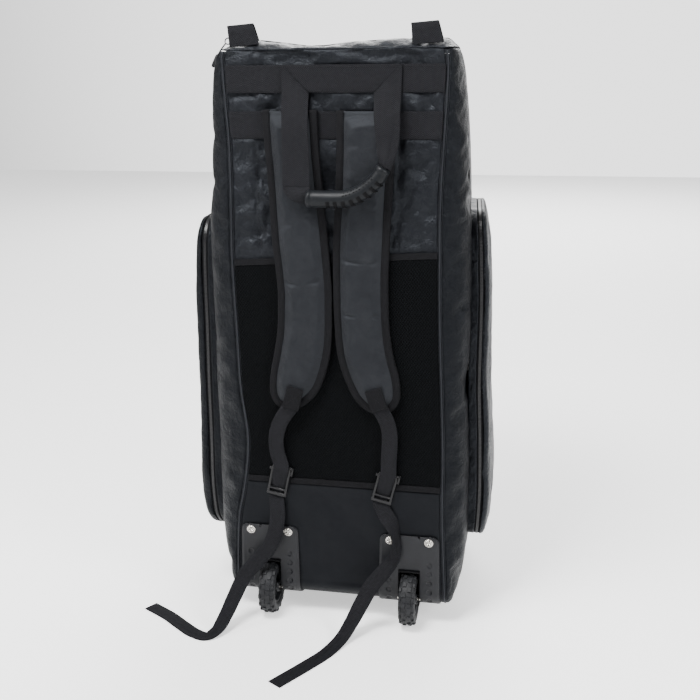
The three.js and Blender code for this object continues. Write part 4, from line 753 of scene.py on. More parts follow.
def make_front():
    up, share = np.linspace(0, 1, 120), np.linspace(-1, 1, 60)
    z = np.linspace(BASE + EDGE, TOP - EDGE, 120)
    wide = np.where(share < 0, np.abs(front_x(-1, z))[:, None], front_x(1, z)[:, None]) - 0.4
    bow = (1 - (2 * up - 1) ** 4)[:, None] * (1 - share[None] ** 2)
    grid = np.stack([share[None] * wide, DEPTH + 14 * bow - 1.0, np.repeat(z[:, None], 60, 1)], -1)
    grid = slacken(grid, rim_pins(grid.shape), 0.025, 7.0, 4.0, (0, 1, 0), seed=6.0)
    return sheet_piece("front_cloth", grid, CLOTH, SHADED_SIDE_FABRIC, (0, 1, 0), ["front_panel"], fine=True)


top_cloth, base_cloth, front_cloth = make_top(), make_base(), make_front()
print("shell panels done", [round(v, 3) for v in top_cloth.dimensions])

# %% [markdown]
# A cord sewn into each long seam of the back stiffens the bag and shows as a thin grey line.
# A swept tube is the plain way to make it. A second, thinner tube next to it is the fold of the
# cover where it goes into the seam.

# %% Seam piping
def unit(vectors):
    return vectors / np.linalg.norm(vectors, axis=-1, keepdims=True)


def tube(points, radius, sides=12):
    points = np.asarray(points, float)
    along = unit(np.gradient(points, axis=0))
    side = unit(np.cross(along, (0, 1, 0)))
    out = np.cross(side, along)
    angle = np.linspace(0, 2 * math.pi, sides, endpoint=False)
    radius = np.broadcast_to(np.asarray(radius, float), (len(points),))[:, None, None]
    ring = np.cos(angle)[None, :, None] * side[:, None] + np.sin(angle)[None, :, None] * out[:, None]
    return points[:, None] + ring * radius


def capped_faces(rows, columns, first=0):
    faces = (grid_faces(rows, columns, True) + first).tolist()
    faces.append([first + i for i in range(columns)][::-1])
    faces.append([first + (rows - 1) * columns + i for i in range(columns)])
    return faces


def outward_faces(piece, merge=False):
    work = bmesh.new()
    work.from_mesh(piece.data)
    if merge:
        bmesh.ops.remove_doubles(work, verts=work.verts, dist=1e-6)
    bmesh.ops.recalc_face_normals(work, faces=work.faces)
    work.to_mesh(piece.data)
    work.free()
    return piece


def solid_from_rings(name, ring_sets, paint, nodes=(), pattern=None):
    points, faces = [], []
    for rings in ring_sets:
        faces += capped_faces(*rings.shape[:2], sum(len(p) for p in points))
        points.append(np.asarray(rings).reshape(-1, 3))
    if pattern is None:
        pattern = np.concatenate([grid_map(np.asarray(r)).reshape(-1, 2) for r in ring_sets])
    return outward_faces(make_piece(name, np.concatenate(points), faces, paint, nodes, pattern))


def make_piping(hand, side):
    z = np.linspace(BASE + EDGE, TOP - 3.3, 170)
    x, y = seam_x(hand, z), heel_y(z)
    cord = tube(np.stack([x, y - 0.3, z], -1), 1.6 - 0.9 * np.clip((z - TOP + 9) / 6, 0, 1))
    flange = tube(np.stack([x - hand * 2.5, y + 0.5, z], -1), 0.8, 8)
    rim = tube(np.stack([x + hand * 2.6, y + 0.7, z], -1), 0.8, 8)
    return solid_from_rings(f"piping_{side}_tube", [cord, flange, rim], PIPING, [f"piping_{side}"])


print("piping", [round(make_piping(hand, side).dimensions.z, 3) for hand, side in SIDES])

# %% [markdown]
# The wear panel is a smooth coated sheet at the foot of the back. It wraps the heel and runs on
# under the bag, so it takes the knocks when the bag is rolled. Its two openings for the wheels
# are left out of the grid, with grid lines along their edges.

# %% Wear panel
SPREAD, SLOT_HALF, WEAR_HALF, HEEL_TOP, WEAR_TOP = 116.5, 19.6, 174, 58, 233.7
SLOT_OUT, SLOT_IN = (SPREAD + SLOT_HALF) / WEAR_HALF, (SPREAD - SLOT_HALF) / WEAR_HALF
QUARTER = HEEL * math.pi / 2


def heel_profile(distance, out):
    """Down the back, round the heel and on under the base. Distance is from the top of the round."""
    distance = np.asarray(distance, float)
    angle = np.clip(distance / HEEL, 0, math.pi / 2)
    y = HEEL - (HEEL + out) * np.cos(angle) + np.clip(distance - QUARTER, 0, None)
    z = BASE + HEEL - (HEEL + out) * np.sin(angle) + np.clip(-distance, 0, None)
    return y, z


def middle_of_faces(faces, *values):
    return [v.reshape(-1)[faces].mean(1) for v in values]


def make_wear():
    down = np.concatenate([
        np.linspace(HEEL_TOP - WEAR_TOP, HEEL_TOP - 99, 40), np.linspace(HEEL_TOP - 98.6, 0, 16)[:-1],
        np.linspace(0, QUARTER, 14), np.linspace(41, 69.5, 10), np.linspace(70, 134, 14)])
    y, z = heel_profile(down, 0)
    half = np.concatenate([np.linspace(-1, -SLOT_OUT, 8), np.linspace(-SLOT_OUT, -SLOT_IN, 10)[1:],
                           np.linspace(-SLOT_IN, 0, 24)[1:]])
    share = np.concatenate([half, -half[::-1][1:]])[None]
    wide = smooth([0, 25, 45, 150], [0, 6, 10, 16])(np.maximum(y, 0)) * (y > 0.5)
    left = seam_x(-1, np.maximum(z, BASE)) + SEAM_GAP - wide
    right = seam_x(1, np.maximum(z, BASE)) - SEAM_GAP + wide
    beyond = np.clip((np.abs(share) - SLOT_OUT) / (1 - SLOT_OUT), 0, 1)
    rim = np.where(share < 0, left[:, None], right[:, None])
    x = np.clip(share, -SLOT_OUT, SLOT_OUT) * WEAR_HALF * (1 - beyond) + rim * beyond
    y, z = np.repeat(y[:, None], x.shape[1], 1), np.repeat(z[:, None], x.shape[1], 1)
    edge = fade(np.minimum(x - x[:, :1], x[:, -1:] - x), 14) * fade(np.clip(WEAR_TOP - z, 0, 100), 10)
    place = np.stack([x, y, z], -1)
    soft = 2.4 * ridges(place, 75, (1.3, 1, 0.9), 8.2) + 0.5 * ridges(place, 24, seed=3.3) - 0.8
    soft += fold(x, z, (60, 120), (-20, 215), 26, -4)
    soft += fold(x, z, (-96, 200), (-60, 90), 14, 3)
    y = y - np.clip(soft * edge * (z > 60), -5, 0.5)
    faces = grid_faces(*x.shape)
    at_x, at_y, at_z = middle_of_faces(faces, x, y, z)
    slot = (np.abs(np.abs(at_x) - SPREAD) < SLOT_HALF) & (at_z < 98.5) & (at_y < 56)
    return sheet_piece("wear_cloth", np.stack([x, y, z], -1), CLOTH, COATED, (0, -1, 0), ["wear_panel"],
                       faces[~slot])


print("wear panel", len(make_wear().data.polygons), "faces")

# %% [markdown]
# The back pocket is a sheet of mesh, held by a bound hem at the top and a seam band at its foot.
# It hangs a little slack between the seams, so the grid swells a few millimetres forwards. Two
# wide tapes cross the back above it and carry the straps. Flat grids are enough for all of them.

# %% Mesh pocket and tapes
NET_FOOT, HEM_LEFT, HEM_RISE = 244.6, 590, 19


def make_net():
    share, up = np.linspace(0, 1, 100), np.linspace(0, 1, 120)[:, None]
    x = across_back(np.linspace(NET_FOOT, HEM_LEFT + HEM_RISE, 120)[:, None], share)
    top = HEM_LEFT + HEM_RISE * share[None]
    z = NET_FOOT + (top - NET_FOOT) * up
    edge = fade(np.minimum(x - x[:, :1], x[:, -1:] - x), 30) * fade(np.minimum(z - 244, top - z), 30)
    y = -1.25 - edge * (0.2 + 0.1 * ridges(flat_points(x, z), 110, (1, 1, 1.4), 1.0))
    piece = sheet_piece("net_pocket", np.stack([x, y, z], -1), 0.6, NET, (0, -1, 0), ["mesh_pocket"])
    return piece


def strip(name, low, high, front, thickness, paint, nodes, waves=0.0, seed=0.0):
    """A flat tape from seam to seam, between two edges given at the left and the right."""
    share, up = np.linspace(0, 1, 120), np.linspace(0, 1, 12)[:, None]
    tall = (high[0] - low[0]) + ((high[1] - low[1]) - (high[0] - low[0])) * share
    z = (low[0] + (low[1] - low[0]) * share)[None] + tall[None] * up
    x = across_back(z, share)
    edge = fade(np.minimum(share, 1 - share), 0.06)[None]
    y = -front - waves * edge * ridges(flat_points(x, z), 55, (1, 1, 2), seed)
    piece = sheet_piece(name, np.stack([x, y, z], -1), thickness, paint, (0, -1, 0), nodes)
    return soften(piece, 0.35)


net = make_net()
hem = strip("pocket_hem", (590, 609), (600, 619), 2.0, 1.4, BINDING, ["mesh_pocket_hem"])
seam_band = strip("seam_band", (234, 234), (244, 244), 1.7, 1.2, BINDING, ["mesh_seam_band"])
upper = strip("upper_tape", (849.3, 849.3), (889, 889), 1.75, 1.3, WEBBING, ["upper_band"], 0.35, 3.0)
lower = strip("lower_tape", (783.3, 783.3), (823, 823), 1.75, 1.3, WEBBING, ["lower_band"], 0.35, 8.0)
print("tapes and net", [round(o.dimensions.x, 3) for o in (net, hem, upper, lower)])

# %% [markdown]
# Each tape is sewn down along both edges, and the top end has one row of stitches and a rolled
# seam. Stitches could be a bump in the material. Small bodies along a line hold up close by.

# %% Stitches on the tapes
def level_line(z_left, z_right, front):
    share = np.linspace(0, 1, 60)
    z = z_left + (z_right - z_left) * share
    x = across_back(z, share, 7.0)
    return np.stack([x, np.full_like(x, -front), z], -1)


tape_lines = [level_line(z, z, 2.0) for z in (852.2, 886.0, 786.2, 820.0)]
tape_lines += [level_line(592, 611, 2.2), level_line(598, 617, 2.2)]
tape_lines += [level_line(236.4, 236.4, 1.9), level_line(241.8, 241.8, 1.9)]
stitches("tape_stitches", tape_lines)
stitches("top_stitches", [level_line(906.5, 906.5, 1.0)])
across = np.linspace(float(seam_x(-1, TOP)) - 1, float(seam_x(1, TOP)) + 1, 90)
sag = 0.5 * ridges(flat_points(across, 0 * across), 40, seed=2.0)
thick = np.interp(np.linspace(0, 1, 90), [0, .02, .98, 1], [.6, 1.9, 1.9, .6])
rim = tube(np.stack([across, 1.3 + 0 * across, TOP - 1.2 + sag], -1), thick)
solid_from_rings("top_seam", [rim[:, ::-1]], FABRIC, [])

# %% [markdown]
# Webbing is a flat ribbon that keeps its width, bends easily one way and hardly at all the other.
# Each run is a path with a facing direction at every point. A helper sweeps the ribbon along it,
# with slightly rounded edges, and gives it a pattern map that follows its length.

# %% Webbing helper
STRAP_THICK, STRAP_WIDE = 1.4, 25
RIBBON = [(-.5, .22), (-.485, .5), (-.25, .52), (0, .53), (.25, .52), (.485, .5), (.5, .22),
          (.5, -.22), (.485, -.5), (.25, -.48), (0, -.47), (-.25, -.48), (-.485, -.5), (-.5, -.22)]


def path_through(points, count):
    points = np.asarray(points, float)
    steps = np.r_[0, np.cumsum(np.linalg.norm(np.diff(points, axis=0), axis=1) ** 0.5)]
    places = np.linspace(0, steps[-1], 40 * len(points))
    fine = np.stack([smooth(steps, points[:, i])(places) for i in range(points.shape[1])], -1)
    length = np.r_[0, np.cumsum(np.linalg.norm(np.diff(fine[:, :3], axis=0), axis=1))]
    even = np.linspace(0, length[-1], count)
    return np.stack([np.interp(even, length, fine[:, i]) for i in range(points.shape[1])], -1), length[-1]


def webbing_run(name, rows, paint, nodes, count):
    """Rows hold x, y, z, turn, tip and width."""
    path, length = path_through(rows, count)
    turn, tip = np.radians(path[:, 3]), np.radians(path[:, 4])
    face = np.stack([np.sin(turn) * np.cos(tip), -np.cos(turn) * np.cos(tip), np.sin(tip)], -1)
    along = unit(np.gradient(path[:, :3], axis=0))
    side = unit(np.cross(along, face))
    out, width = np.cross(side, along), path[:, 5:6]
    rings = np.stack([path[:, :3] + side * (s * width) + out * (o * STRAP_THICK) for s, o in RIBBON], 1)
    spots = np.array([s for s, _ in RIBBON]) * rows[0][5] / 1000
    pattern = np.stack(np.meshgrid(spots, np.linspace(0, length, count) / 1000), -1)
    solid_from_rings(name, [rings], paint, nodes, pattern=pattern)
    print(name, "is", round(length), "mm long")
    return path


# %% [markdown]
# The adjusters hang from patches on the pads, pass through ladder locks and end in long free
# tails that twist, drop in front of the wear panel and lie on the floor. Their route follows the
# frame's own, with extra waviness so that the webbing looks limp.

# %% Adjusters and tails
RIDE_PAD, RIDE_FRONT, RIDE_BACK, BUCKLE_Z, ON_FLOOR, TAIL_REACH = 16.75, 7.95, 2.85, 238.0, 1.05, 212.0
LOCKS = {"left": (-0.592, 12.0), "right": (0.462, 14.0)}


def on_lock(lock, x, depth, z):
    lean = math.radians(lock[1])
    return (lock[0] * HALF + x * math.cos(lean) + z * math.sin(lean), -depth,
            BUCKLE_Z - x * math.sin(lean) + z * math.cos(lean))


def adjuster_rows(hang, tail, lock):
    pad_end, top = TOP * 0.4, on_lock(lock, 0, RIDE_FRONT, 25)[2]
    rows = [(a * HALF, -(RIDE_FRONT + (RIDE_PAD - RIDE_FRONT) * o), pad_end + (top - pad_end) * d,
             0, 0, STRAP_WIDE) for d, a, o in hang]
    through = ((RIDE_FRONT, 27), (RIDE_FRONT, 19), (RIDE_BACK + 0.4, -10.5), (RIDE_BACK, -24.5), (RIDE_BACK, -28))
    rows += [(*on_lock(lock, 0, depth, z), 0, 0, STRAP_WIDE) for depth, z in through]
    low = on_lock(lock, 0, RIDE_BACK, -31)[2]
    return rows + [(a * HALF, -out * TAIL_REACH, ON_FLOOR + (low - ON_FLOOR) * up, turn, tip, STRAP_WIDE)
                   for a, up, out, turn, tip in tail]


# Columns of a hang: share down, share across, share out. Columns of a tail: share across, share up,
# share out, turn, tip.
HANGS = {
    "left": [(-.36, -.385, 1), (-.06, -.44, 1), (.08, -.5, .8), (.25, -.558, .45), (.5, -.602, .2),
             (.74, -.596, .05)],
    "right": [(-.4, .36, 1), (-.1, .426, 1), (.05, .474, .8), (.25, .51, .45), (.5, .514, .2), (.74, .504, .05)]}
TAILS = {
    "left": [
        (-.606, .87, .05, 5, 0), (-.624, .737, .085, 5, 0), (-.691, .6, .104, 0, 5), (-.788, .502, .127, 0, 10),
        (-.915, .385, .17, 0, 20), (-1.006, .225, .245, 0, 40), (-1.067, .103, .34, 0, 75),
        (-1.12, .028, .43, 0, 90), (-1.2, 0, .487, 0, 90), (-1.33, 0, .462, 0, 90), (-1.515, 0, .363, 0, 90),
        (-1.697, 0, .255, 0, 90), (-1.964, 0, .13, 0, 90)],
    "right": [
        (.475, .93, .03, 15, 0), (.54, .86, .055, 45, 0), (.59, .75, .085, 68, 0), (.582, .624, .104, 45, 5),
        (.485, .502, .127, 12, 10), (.364, .38, .156, 0, 20), (.273, .244, .198, 0, 40),
        (.188, .113, .274, 0, 75), (.115, .028, .37, 0, 90), (.018, 0, .538, 0, 90), (-.115, 0, .722, 0, 90),
        (-.339, 0, 1, 0, 90)]}
strap_paths = {}
for side, lock in LOCKS.items():
    rows = adjuster_rows(HANGS[side], TAILS[side], lock)
    strap_paths[side] = webbing_run(f"adjuster_webbing_{side}", rows, WEBBING, [f"adjuster_{side}"], 300)

# %% [markdown]
# A ladder lock is a flat plastic frame. The webbing passes behind its lower bars and its own
# tension holds it. It is drawn as a plate with two windows, given rounded edges by a bevel. The
# patches hold the webbing to the pads, with a sewn box and cross.

# %% Ladder locks, anchors and patches
LOCK_OUTER, LOCK_WINDOWS = (-16.5, 16.5, -25, 25), [(-13, 13, -12, 20), (-13, 13, -20, -15)]
LOCK_EARS = ((14.4, 20.0, 13.5, 17.5), (17.0, 20.0, 15.0, 27.0), (12.0, 20.0, 24.0, 27.6),
             (-19.4, -15.0, 17.5, 21.5))


def framed_plate(outer, holes, thickness):
    """Points and faces of a flat plate with rectangular windows, split along the window edges."""
    xs = sorted({outer[0], outer[1], *(h[0] for h in holes), *(h[1] for h in holes)})
    zs = sorted({outer[2], outer[3], *(h[2] for h in holes), *(h[3] for h in holes)})
    points = [(x, y, z) for y in (0, thickness) for z in zs for x in xs]
    n, m = len(xs), len(xs) * len(zs)
    cells = [[((xs[i] + xs[i + 1]) / 2, (zs[j] + zs[j + 1]) / 2) for i in range(n - 1)]
             for j in range(len(zs) - 1)]
    solid = [[not any(h[0] <= x <= h[1] and h[2] <= z <= h[3] for h in holes) for x, z in row] for row in cells]
    faces = []
    for j, row in enumerate(solid):
        for i, full in enumerate(row):
            if not full:
                continue
            a, b, c, d = j * n + i, j * n + i + 1, (j + 1) * n + i + 1, (j + 1) * n + i
            faces += [(a, b, c, d), (a + m, d + m, c + m, b + m)]
            for (p, q), (dj, di) in zip(((a, b), (b, c), (c, d), (d, a)), ((-1, 0), (0, 1), (1, 0), (0, -1))):
                jj, ii = j + dj, i + di
                if not (0 <= jj < len(solid) and 0 <= ii < len(row) and solid[jj][ii]):
                    faces.append((p, p + m, q + m, q))
    return np.array(points, float), faces


def make_lock(lock, side):
    points, faces = framed_plate(LOCK_OUTER, LOCK_WINDOWS, 3.0)
    points[:, 0] *= np.interp(points[:, 2], [-25, -12, 20, 25], [1.0, 0.97, 0.98, 0.9])
    for outer in LOCK_EARS:
        more, walls = framed_plate(outer, [], 2.6)
        faces += [tuple(i + len(points) for i in wall) for wall in walls]
        points = np.concatenate([points, more + (0, -0.3, 0)])
    placed = np.array([on_lock(lock, x, 3.9 + y, z) for x, y, z in points])
    piece = make_piece(f"lock_{side}", placed, faces, GLOSS, [f"buckle_{side}"], None)
    return soften(outward_faces(piece), 0.9, 3)


def make_patch(path, side):
    start, ahead = path[0, :3], path[10, :3] - path[0, :3]
    ahead /= np.linalg.norm(ahead)
    rows = [(*(start + ahead * t + np.array([0, -1.75, 0])), 0, 0, 27) for t in np.linspace(0, 36, 6)]
    webbing_run(f"patch_{side}", rows, BINDING, [f"strap_patch_{side}"], 24)
    low, high = (start + ahead * t + np.array([0, -2.6, 0]) for t in (2.5, 33.5))
    wide = np.cross(ahead, (0, 1, 0)) * 11.4
    box = [low - wide, low + wide, high + wide, high - wide]
    lines = [np.linspace(box[i], box[(i + 1) % 4], 12) for i in range(4)]
    lines += [np.linspace(box[i], box[i + 2], 14) for i in range(2)]
    stitches(f"patch_stitches_{side}", lines, thick=0.7)


for side, lock in LOCKS.items():
    make_lock(lock, side)
for side, lock in LOCKS.items():
    rows = [(*on_lock(lock, 0, RIDE_BACK, z), 0, 0, STRAP_WIDE) for z in (5, 10, 14, 19, 24)]
    webbing_run(f"anchor_{side}", rows, WEBBING, [f"buckle_anchor_{side}"], 20)
for side, path in strap_paths.items():
    make_patch(path, side)
print("locks and patches done")

# %% [markdown]
# The pads carry the load, so they are foam between two layers of cloth. The foam makes them swell
# between their bound edges. A short cloth simulation with pressure inside gives that fullness.
# The binding keeps its drawn outline, so points near the edge are held in place.

# %% Shoulder pads
# Columns: share up, middle and half width as shares of the bag's half width.
PADS = {
    "left": [
        (.905, -.403, .252), (.885, -.4, .25), (.842, -.388, .248), (.777, -.361, .251), (.7, -.332, .262),
        (.645, -.305, .26), (.605, -.29, .258), (.585, -.292, .258), (.54, -.3, .262), (.499, -.33, .27),
        (.465, -.372, .266), (.436, -.41, .242), (.422, -.432, .21), (.405, -.462, .13), (.399, -.472, .05)],
    "right": [
        (.904, .287, .262), (.884, .287, .262), (.842, .285, .262), (.777, .268, .258), (.7, .246, .26),
        (.66, .238, .258), (.64, .236, .256), (.575, .24, .256), (.555, .246, .256), (.53, .256, .26),
        (.499, .28, .264), (.465, .33, .264), (.436, .372, .238), (.422, .389, .21), (.405, .405, .13),
        (.399, .41, .05)]}
CREASES = {
    "left": [
        ((-90, 572), (-52, 563), 4, -5.5), ((-56, 563), (-14, 574), 5, -4.5), ((-74, 590), (-40, 586), 7, 3.5),
        ((-60, 604), (-24, 596), 6, 2.4), ((-98, 650), (-50, 662), 7, -2.6), ((-58, 676), (-28, 664), 6, -2.4),
        ((-96, 700), (-64, 690), 8, 2.6), ((-100, 520), (-20, 506), 12, -1.4), ((-96, 446), (-70, 436), 3, -2.4),
        ((-70, 438), (-34, 424), 3, -2.2), ((-60, 640), (-30, 630), 6, -2.0), ((-104, 742), (-80, 760), 6, -2.0)],
    "right": [
        ((2, 607), (44, 600), 4, -4.5), ((44, 600), (84, 606), 5, -3.5), ((6, 522), (40, 517), 3.5, -4.6),
        ((44, 518), (82, 522), 4, -3.6), ((10, 590), (56, 584), 8, 3.0), ((20, 694), (80, 676), 8, -2.4),
        ((14, 654), (62, 640), 6, 2.0), ((10, 724), (52, 740), 8, 2.6), ((14, 776), (60, 770), 7, -2.6),
        ((20, 792), (70, 800), 7, 2.2), ((84, 444), (62, 424), 3, -2.0), ((30, 560), (70, 552), 7, -1.8)]}
PAD_BACK, PAD_EDGE, PAD_THICK = 3.7, 5.0, 12.0


def pad_outline(side, distance, count=120):
    """The pad's closed outline in x and z, moved inwards. It runs down the left and up the right edge."""
    table = np.array(PADS[side])
    edges = [np.stack([(table[:, 1] + hand * table[:, 2]) * HALF, table[:, 0] * TOP], -1) for hand in (-1, 1)]
    left, right = (path_through(edge, count)[0] for edge in edges)
    line = np.concatenate([left, right[::-1]])
    along = unit(np.gradient(line, axis=0))
    return line + np.stack([-along[:, 1], along[:, 0]], -1) * distance


def gap_to(line, points):
    """Distance from each point to a closed outline."""
    best = np.full(len(points), 1e9)
    for start, way in zip(line, np.roll(line, -1, 0) - line):
        t = np.clip(((points - start) @ way) / max(way @ way, 1e-9), 0, 1)
        best = np.minimum(best, np.linalg.norm(points - start - t[:, None] * way, axis=1))
    return best


def pad_shell(side, crown_start):
    """A closed flat shape with a low crown, as rings across the pad from its top end down."""
    line = pad_outline(side, 1.3)
    half = len(line) // 2
    left, right = line[:half], line[half:][::-1]
    share = np.linspace(0, 1, 31)[None, :, None]
    flat = left[:, None] * (1 - share) + right[:, None] * share
    from_edge = gap_to(line, flat.reshape(-1, 2)).reshape(flat.shape[:2])
    crown = crown_start * (1 - np.exp(-np.clip(from_edge - 9, 0, None) / 7))
    front = np.stack([flat[..., 0], -(PAD_BACK + PAD_EDGE + crown), flat[..., 1]], -1)
    rear = np.stack([flat[..., 0], np.full_like(crown, -PAD_BACK), flat[..., 1]], -1)[:, ::-1]
    return line, np.concatenate([front, rear], 1)


def plain_mesh(points, faces, modifier, **settings):
    """Points in millimetres and faces after one modifier."""
    holder = add_object("plain", raw_mesh("plain", points / 1000, faces))
    step = holder.modifiers.new("step", modifier)
    for key, value in settings.items():
        setattr(step, key, value)
    made = bpy.data.meshes.new_from_object(holder.evaluated_get(bpy.context.evaluated_depsgraph_get()))
    bpy.data.objects.remove(holder)
    return points_of(made), [tuple(f.vertices) for f in made.polygons]


def make_pad(side, seed):
    line, rings = pad_shell(side, 4.6)
    points, faces = rings.reshape(-1, 3), capped_faces(*rings.shape[:2])
    points, faces = plain_mesh(points, faces, "REMESH", mode="VOXEL", voxel_size=0.0045)
    moved = cloth_run(points, faces, pressure=4.0, bend=0.5) - points
    cap = 3.6 * fade(gap_to(line, points[:, [0, 2]]) - 9, 14) + 0.15
    length = np.maximum(np.linalg.norm(moved, axis=1), 1e-9)
    points = points + moved * np.minimum(1, cap / length)[:, None]
    points, faces = plain_mesh(points, faces, "SUBSURF", levels=1, render_levels=1)
    x, z = points[:, 0], points[:, 2]
    inside = fade(gap_to(line, points[:, [0, 2]]) - 9, 16) * (points[:, 1] < -(PAD_BACK + 0.6 * PAD_EDGE))
    flat = flat_points(x, z)
    move = 1.5 * ridges(flat, 40, (1.4, 1, 0.6), seed, 1.3) + 0.6 * ridges(flat, 15, (1.5, 1, 0.8), seed + 3)
    for start, end, width, height in CREASES[side]:
        move += 1.3 * fold(x, z, start, end, width, height)
    points[:, 1] = points[:, 1] - move * inside
    points[:, 1] = np.clip(points[:, 1], -(PAD_BACK + PAD_THICK + 0.6), -(PAD_BACK - 0.9))
    piece = outward_faces(make_piece(f"pad_{side}", points, faces, PADDING, [f"shoulder_pad_{side}"],
                                     None))
    finer(piece)
    return piece


pads = [make_pad("left", 2.0), make_pad("right", 7.0)]
print("pads", [len(o.data.polygons) for o in pads])

# %% [markdown]
# A folded tape binds the edge of each pad, front and back. It could be a swept strip. Here its
# section goes along the pad's outline at rising distances, so that it never leaves the edge.

# %% Pad bindings
BIND_FRONT = PAD_BACK + PAD_EDGE + 0.3
BIND_SECTION = [
    (11.4, BIND_FRONT + 0.5), (11, BIND_FRONT + 1.0), (6, BIND_FRONT + 1.25), (1, BIND_FRONT + 1.0),
    (0, BIND_FRONT), (-0.1, BIND_FRONT - 2.5), (0, 3.0), (1, 2.4), (11, 2.4), (11, 3.4), (1.2, 3.4),
    (1.0, 4.5), (1.0, BIND_FRONT - 0.6), (1.4, BIND_FRONT), (11, BIND_FRONT)]


def pad_line(side, distance, depth):
    line = pad_outline(side, distance, 150)
    return np.stack([line[:, 0], np.full(len(line), -depth), line[:, 1]], -1)


for hand, side in SIDES:
    rings = np.stack([pad_line(side, *spot) for spot in BIND_SECTION], 1)
    solid_from_rings(f"binding_{side}", [rings], BINDING, [f"pad_binding_{side}"])
    stitches(f"binding_{side}_stitches", [pad_line(side, 9.2, BIND_FRONT + 1.3)], 2.4, 3.4, 0.6)

# %% [markdown]
# The carry handle is one length of wide webbing. It runs along the upper tape, folds down like the
# corner of a picture frame at both ends, and narrows into a rubber grip with finger ribs.

# %% Handle webbing
def band(name, edge_a, edge_b, nodes=(), count=70, curl=0.0, swell=0.0, weave_turn=0.0):
    """Webbing between two drawn edges, each a list of x, depth and z. Its end may curl round a grip."""
    a, b = path_through(edge_a, count)[0], path_through(edge_b, count)[0]
    share, down = np.linspace(0, 1, 15), np.linspace(0, 1, count)[:, None]
    grid = a[:, None] * (1 - share)[None, :, None] + b[:, None] * share[None, :, None]
    along = np.clip((down - 0.6) / 0.4, 0, 1)
    grid[..., 1] += swell * np.sin(math.pi * share)[None] * np.sin(math.pi * down)
    grid[..., 1] -= curl * along * np.abs(2 * share - 1)[None] ** 2.2
    grid[..., 1] = -grid[..., 1] - 0.3 * ridges(grid, 26, (1, 1, 1.6), edge_a[0][0] * 0.1)
    c, s = math.cos(weave_turn), math.sin(weave_turn)
    pattern = np.stack([grid[..., 0] * c + grid[..., 2] * s, grid[..., 2] * c - grid[..., 0] * s], -1) / 1000
    return soften(sheet_piece(name, grid, 1.3, WEBBING, (0, -1, 0), nodes, pattern=pattern), 0.4)


band("handle_run", [(-79, 3.55, 889), (10, 3.6, 889), (100, 3.55, 889)],
     [(-38, 3.55, 850), (10, 3.6, 849), (59, 3.55, 850)], ["handle_webbing"], weave_turn=math.pi / 2)
band("handle_leg_left",
     [(-79, 4.6, 889.5), (-78, 5.4, 862), (-77.5, 9, 840), (-77, 15.4, 824), (-76, 18.9, 800), (-76, 20, 767),
      (-75.5, 22.4, 738), (-75, 26, 717)],
     [(-37.5, 4.6, 849.5), (-37.5, 7.5, 839), (-37, 14, 824), (-37, 18.2, 808), (-36.5, 19.4, 790),
      (-35, 20.4, 767), (-34, 22.6, 738), (-33, 26.6, 715)], count=110, swell=1.2)
band("handle_flap_left",
     [(-75, 25.2, 717.5), (-71.5, 27, 706), (-59, 30, 695.5), (-45, 31.4, 690.5), (-34, 31.8, 688.5)],
     [(-33, 25.4, 716), (-32.8, 28, 715), (-32.6, 30, 714), (-32.4, 31, 713), (-31.5, 31.4, 711.5)],
     count=50, curl=6.0, swell=2.4, weave_turn=0.7)
band("handle_leg_right",
     [(58.5, 4.6, 849.5), (59, 7.5, 840), (60, 14, 825), (61.5, 18.2, 806), (64, 20.5, 788), (65, 24, 771),
      (68, 30, 758), (72, 32.4, 748)],
     [(100, 4.6, 889.5), (99.5, 5.4, 862), (99, 9, 840), (99, 15.4, 824), (99.5, 19, 800), (98.5, 22, 782),
      (94.5, 28.5, 760), (87.5, 32, 739)], count=110, curl=7.0, swell=1.6)
band("handle_turn_right",
     [(91.5, 20.8, 804), (88.5, 25, 782), (85.5, 30, 764), (80, 33.4, 746)],
     [(99.6, 20.2, 801), (98.8, 23.4, 782), (94.8, 29.4, 760), (87.2, 32.6, 740)],
     count=50, curl=2.0, swell=0.8, weave_turn=0.3)
handle_lines = [[(x, -4.4, 885.8) for x in np.linspace(-76, 97, 60)]]
handle_lines += [[(x, -4.4, 853.0) for x in np.linspace(-38, 59, 40)]]
handle_lines += [[(x + way * 36 * t, -5.4, 884 - 33.5 * t) for t in np.linspace(0, 1, 20)]
                 for x, way in ((-75.5, 1), (96.5, -1))]
stitches("handle_stitches", handle_lines, thick=0.5)

# %% [markdown]
# The grip is a rubber sleeve with finger ribs cut into its lower side and small holes near its
# top. A tube with a varying radius makes the sleeve, and the cuts are dark bodies set in its skin:
# their near-black colour is painted shade.

# %% Rubber grip
GRIP_DEPTH, GRIP_RADIUS, RIB_STEP = 30.8, 13, 0.58 / 7
GRIP_ROUTE = [(-.575, .7665, 1), (-.35, .766, 1), (-.12, .766, 1), (.09, .7675, 1), (.29, .7745, 1),
              (.47, .786, .96), (.62, .801, .9), (.715, .8165, .86)]
grip_points = [(14 + a * 89, -GRIP_DEPTH, up * TOP, GRIP_RADIUS * s) for a, up, s in GRIP_ROUTE]
grip_path, grip_length = path_through(grip_points, 120)
print("grip", round(grip_length), "mm long")


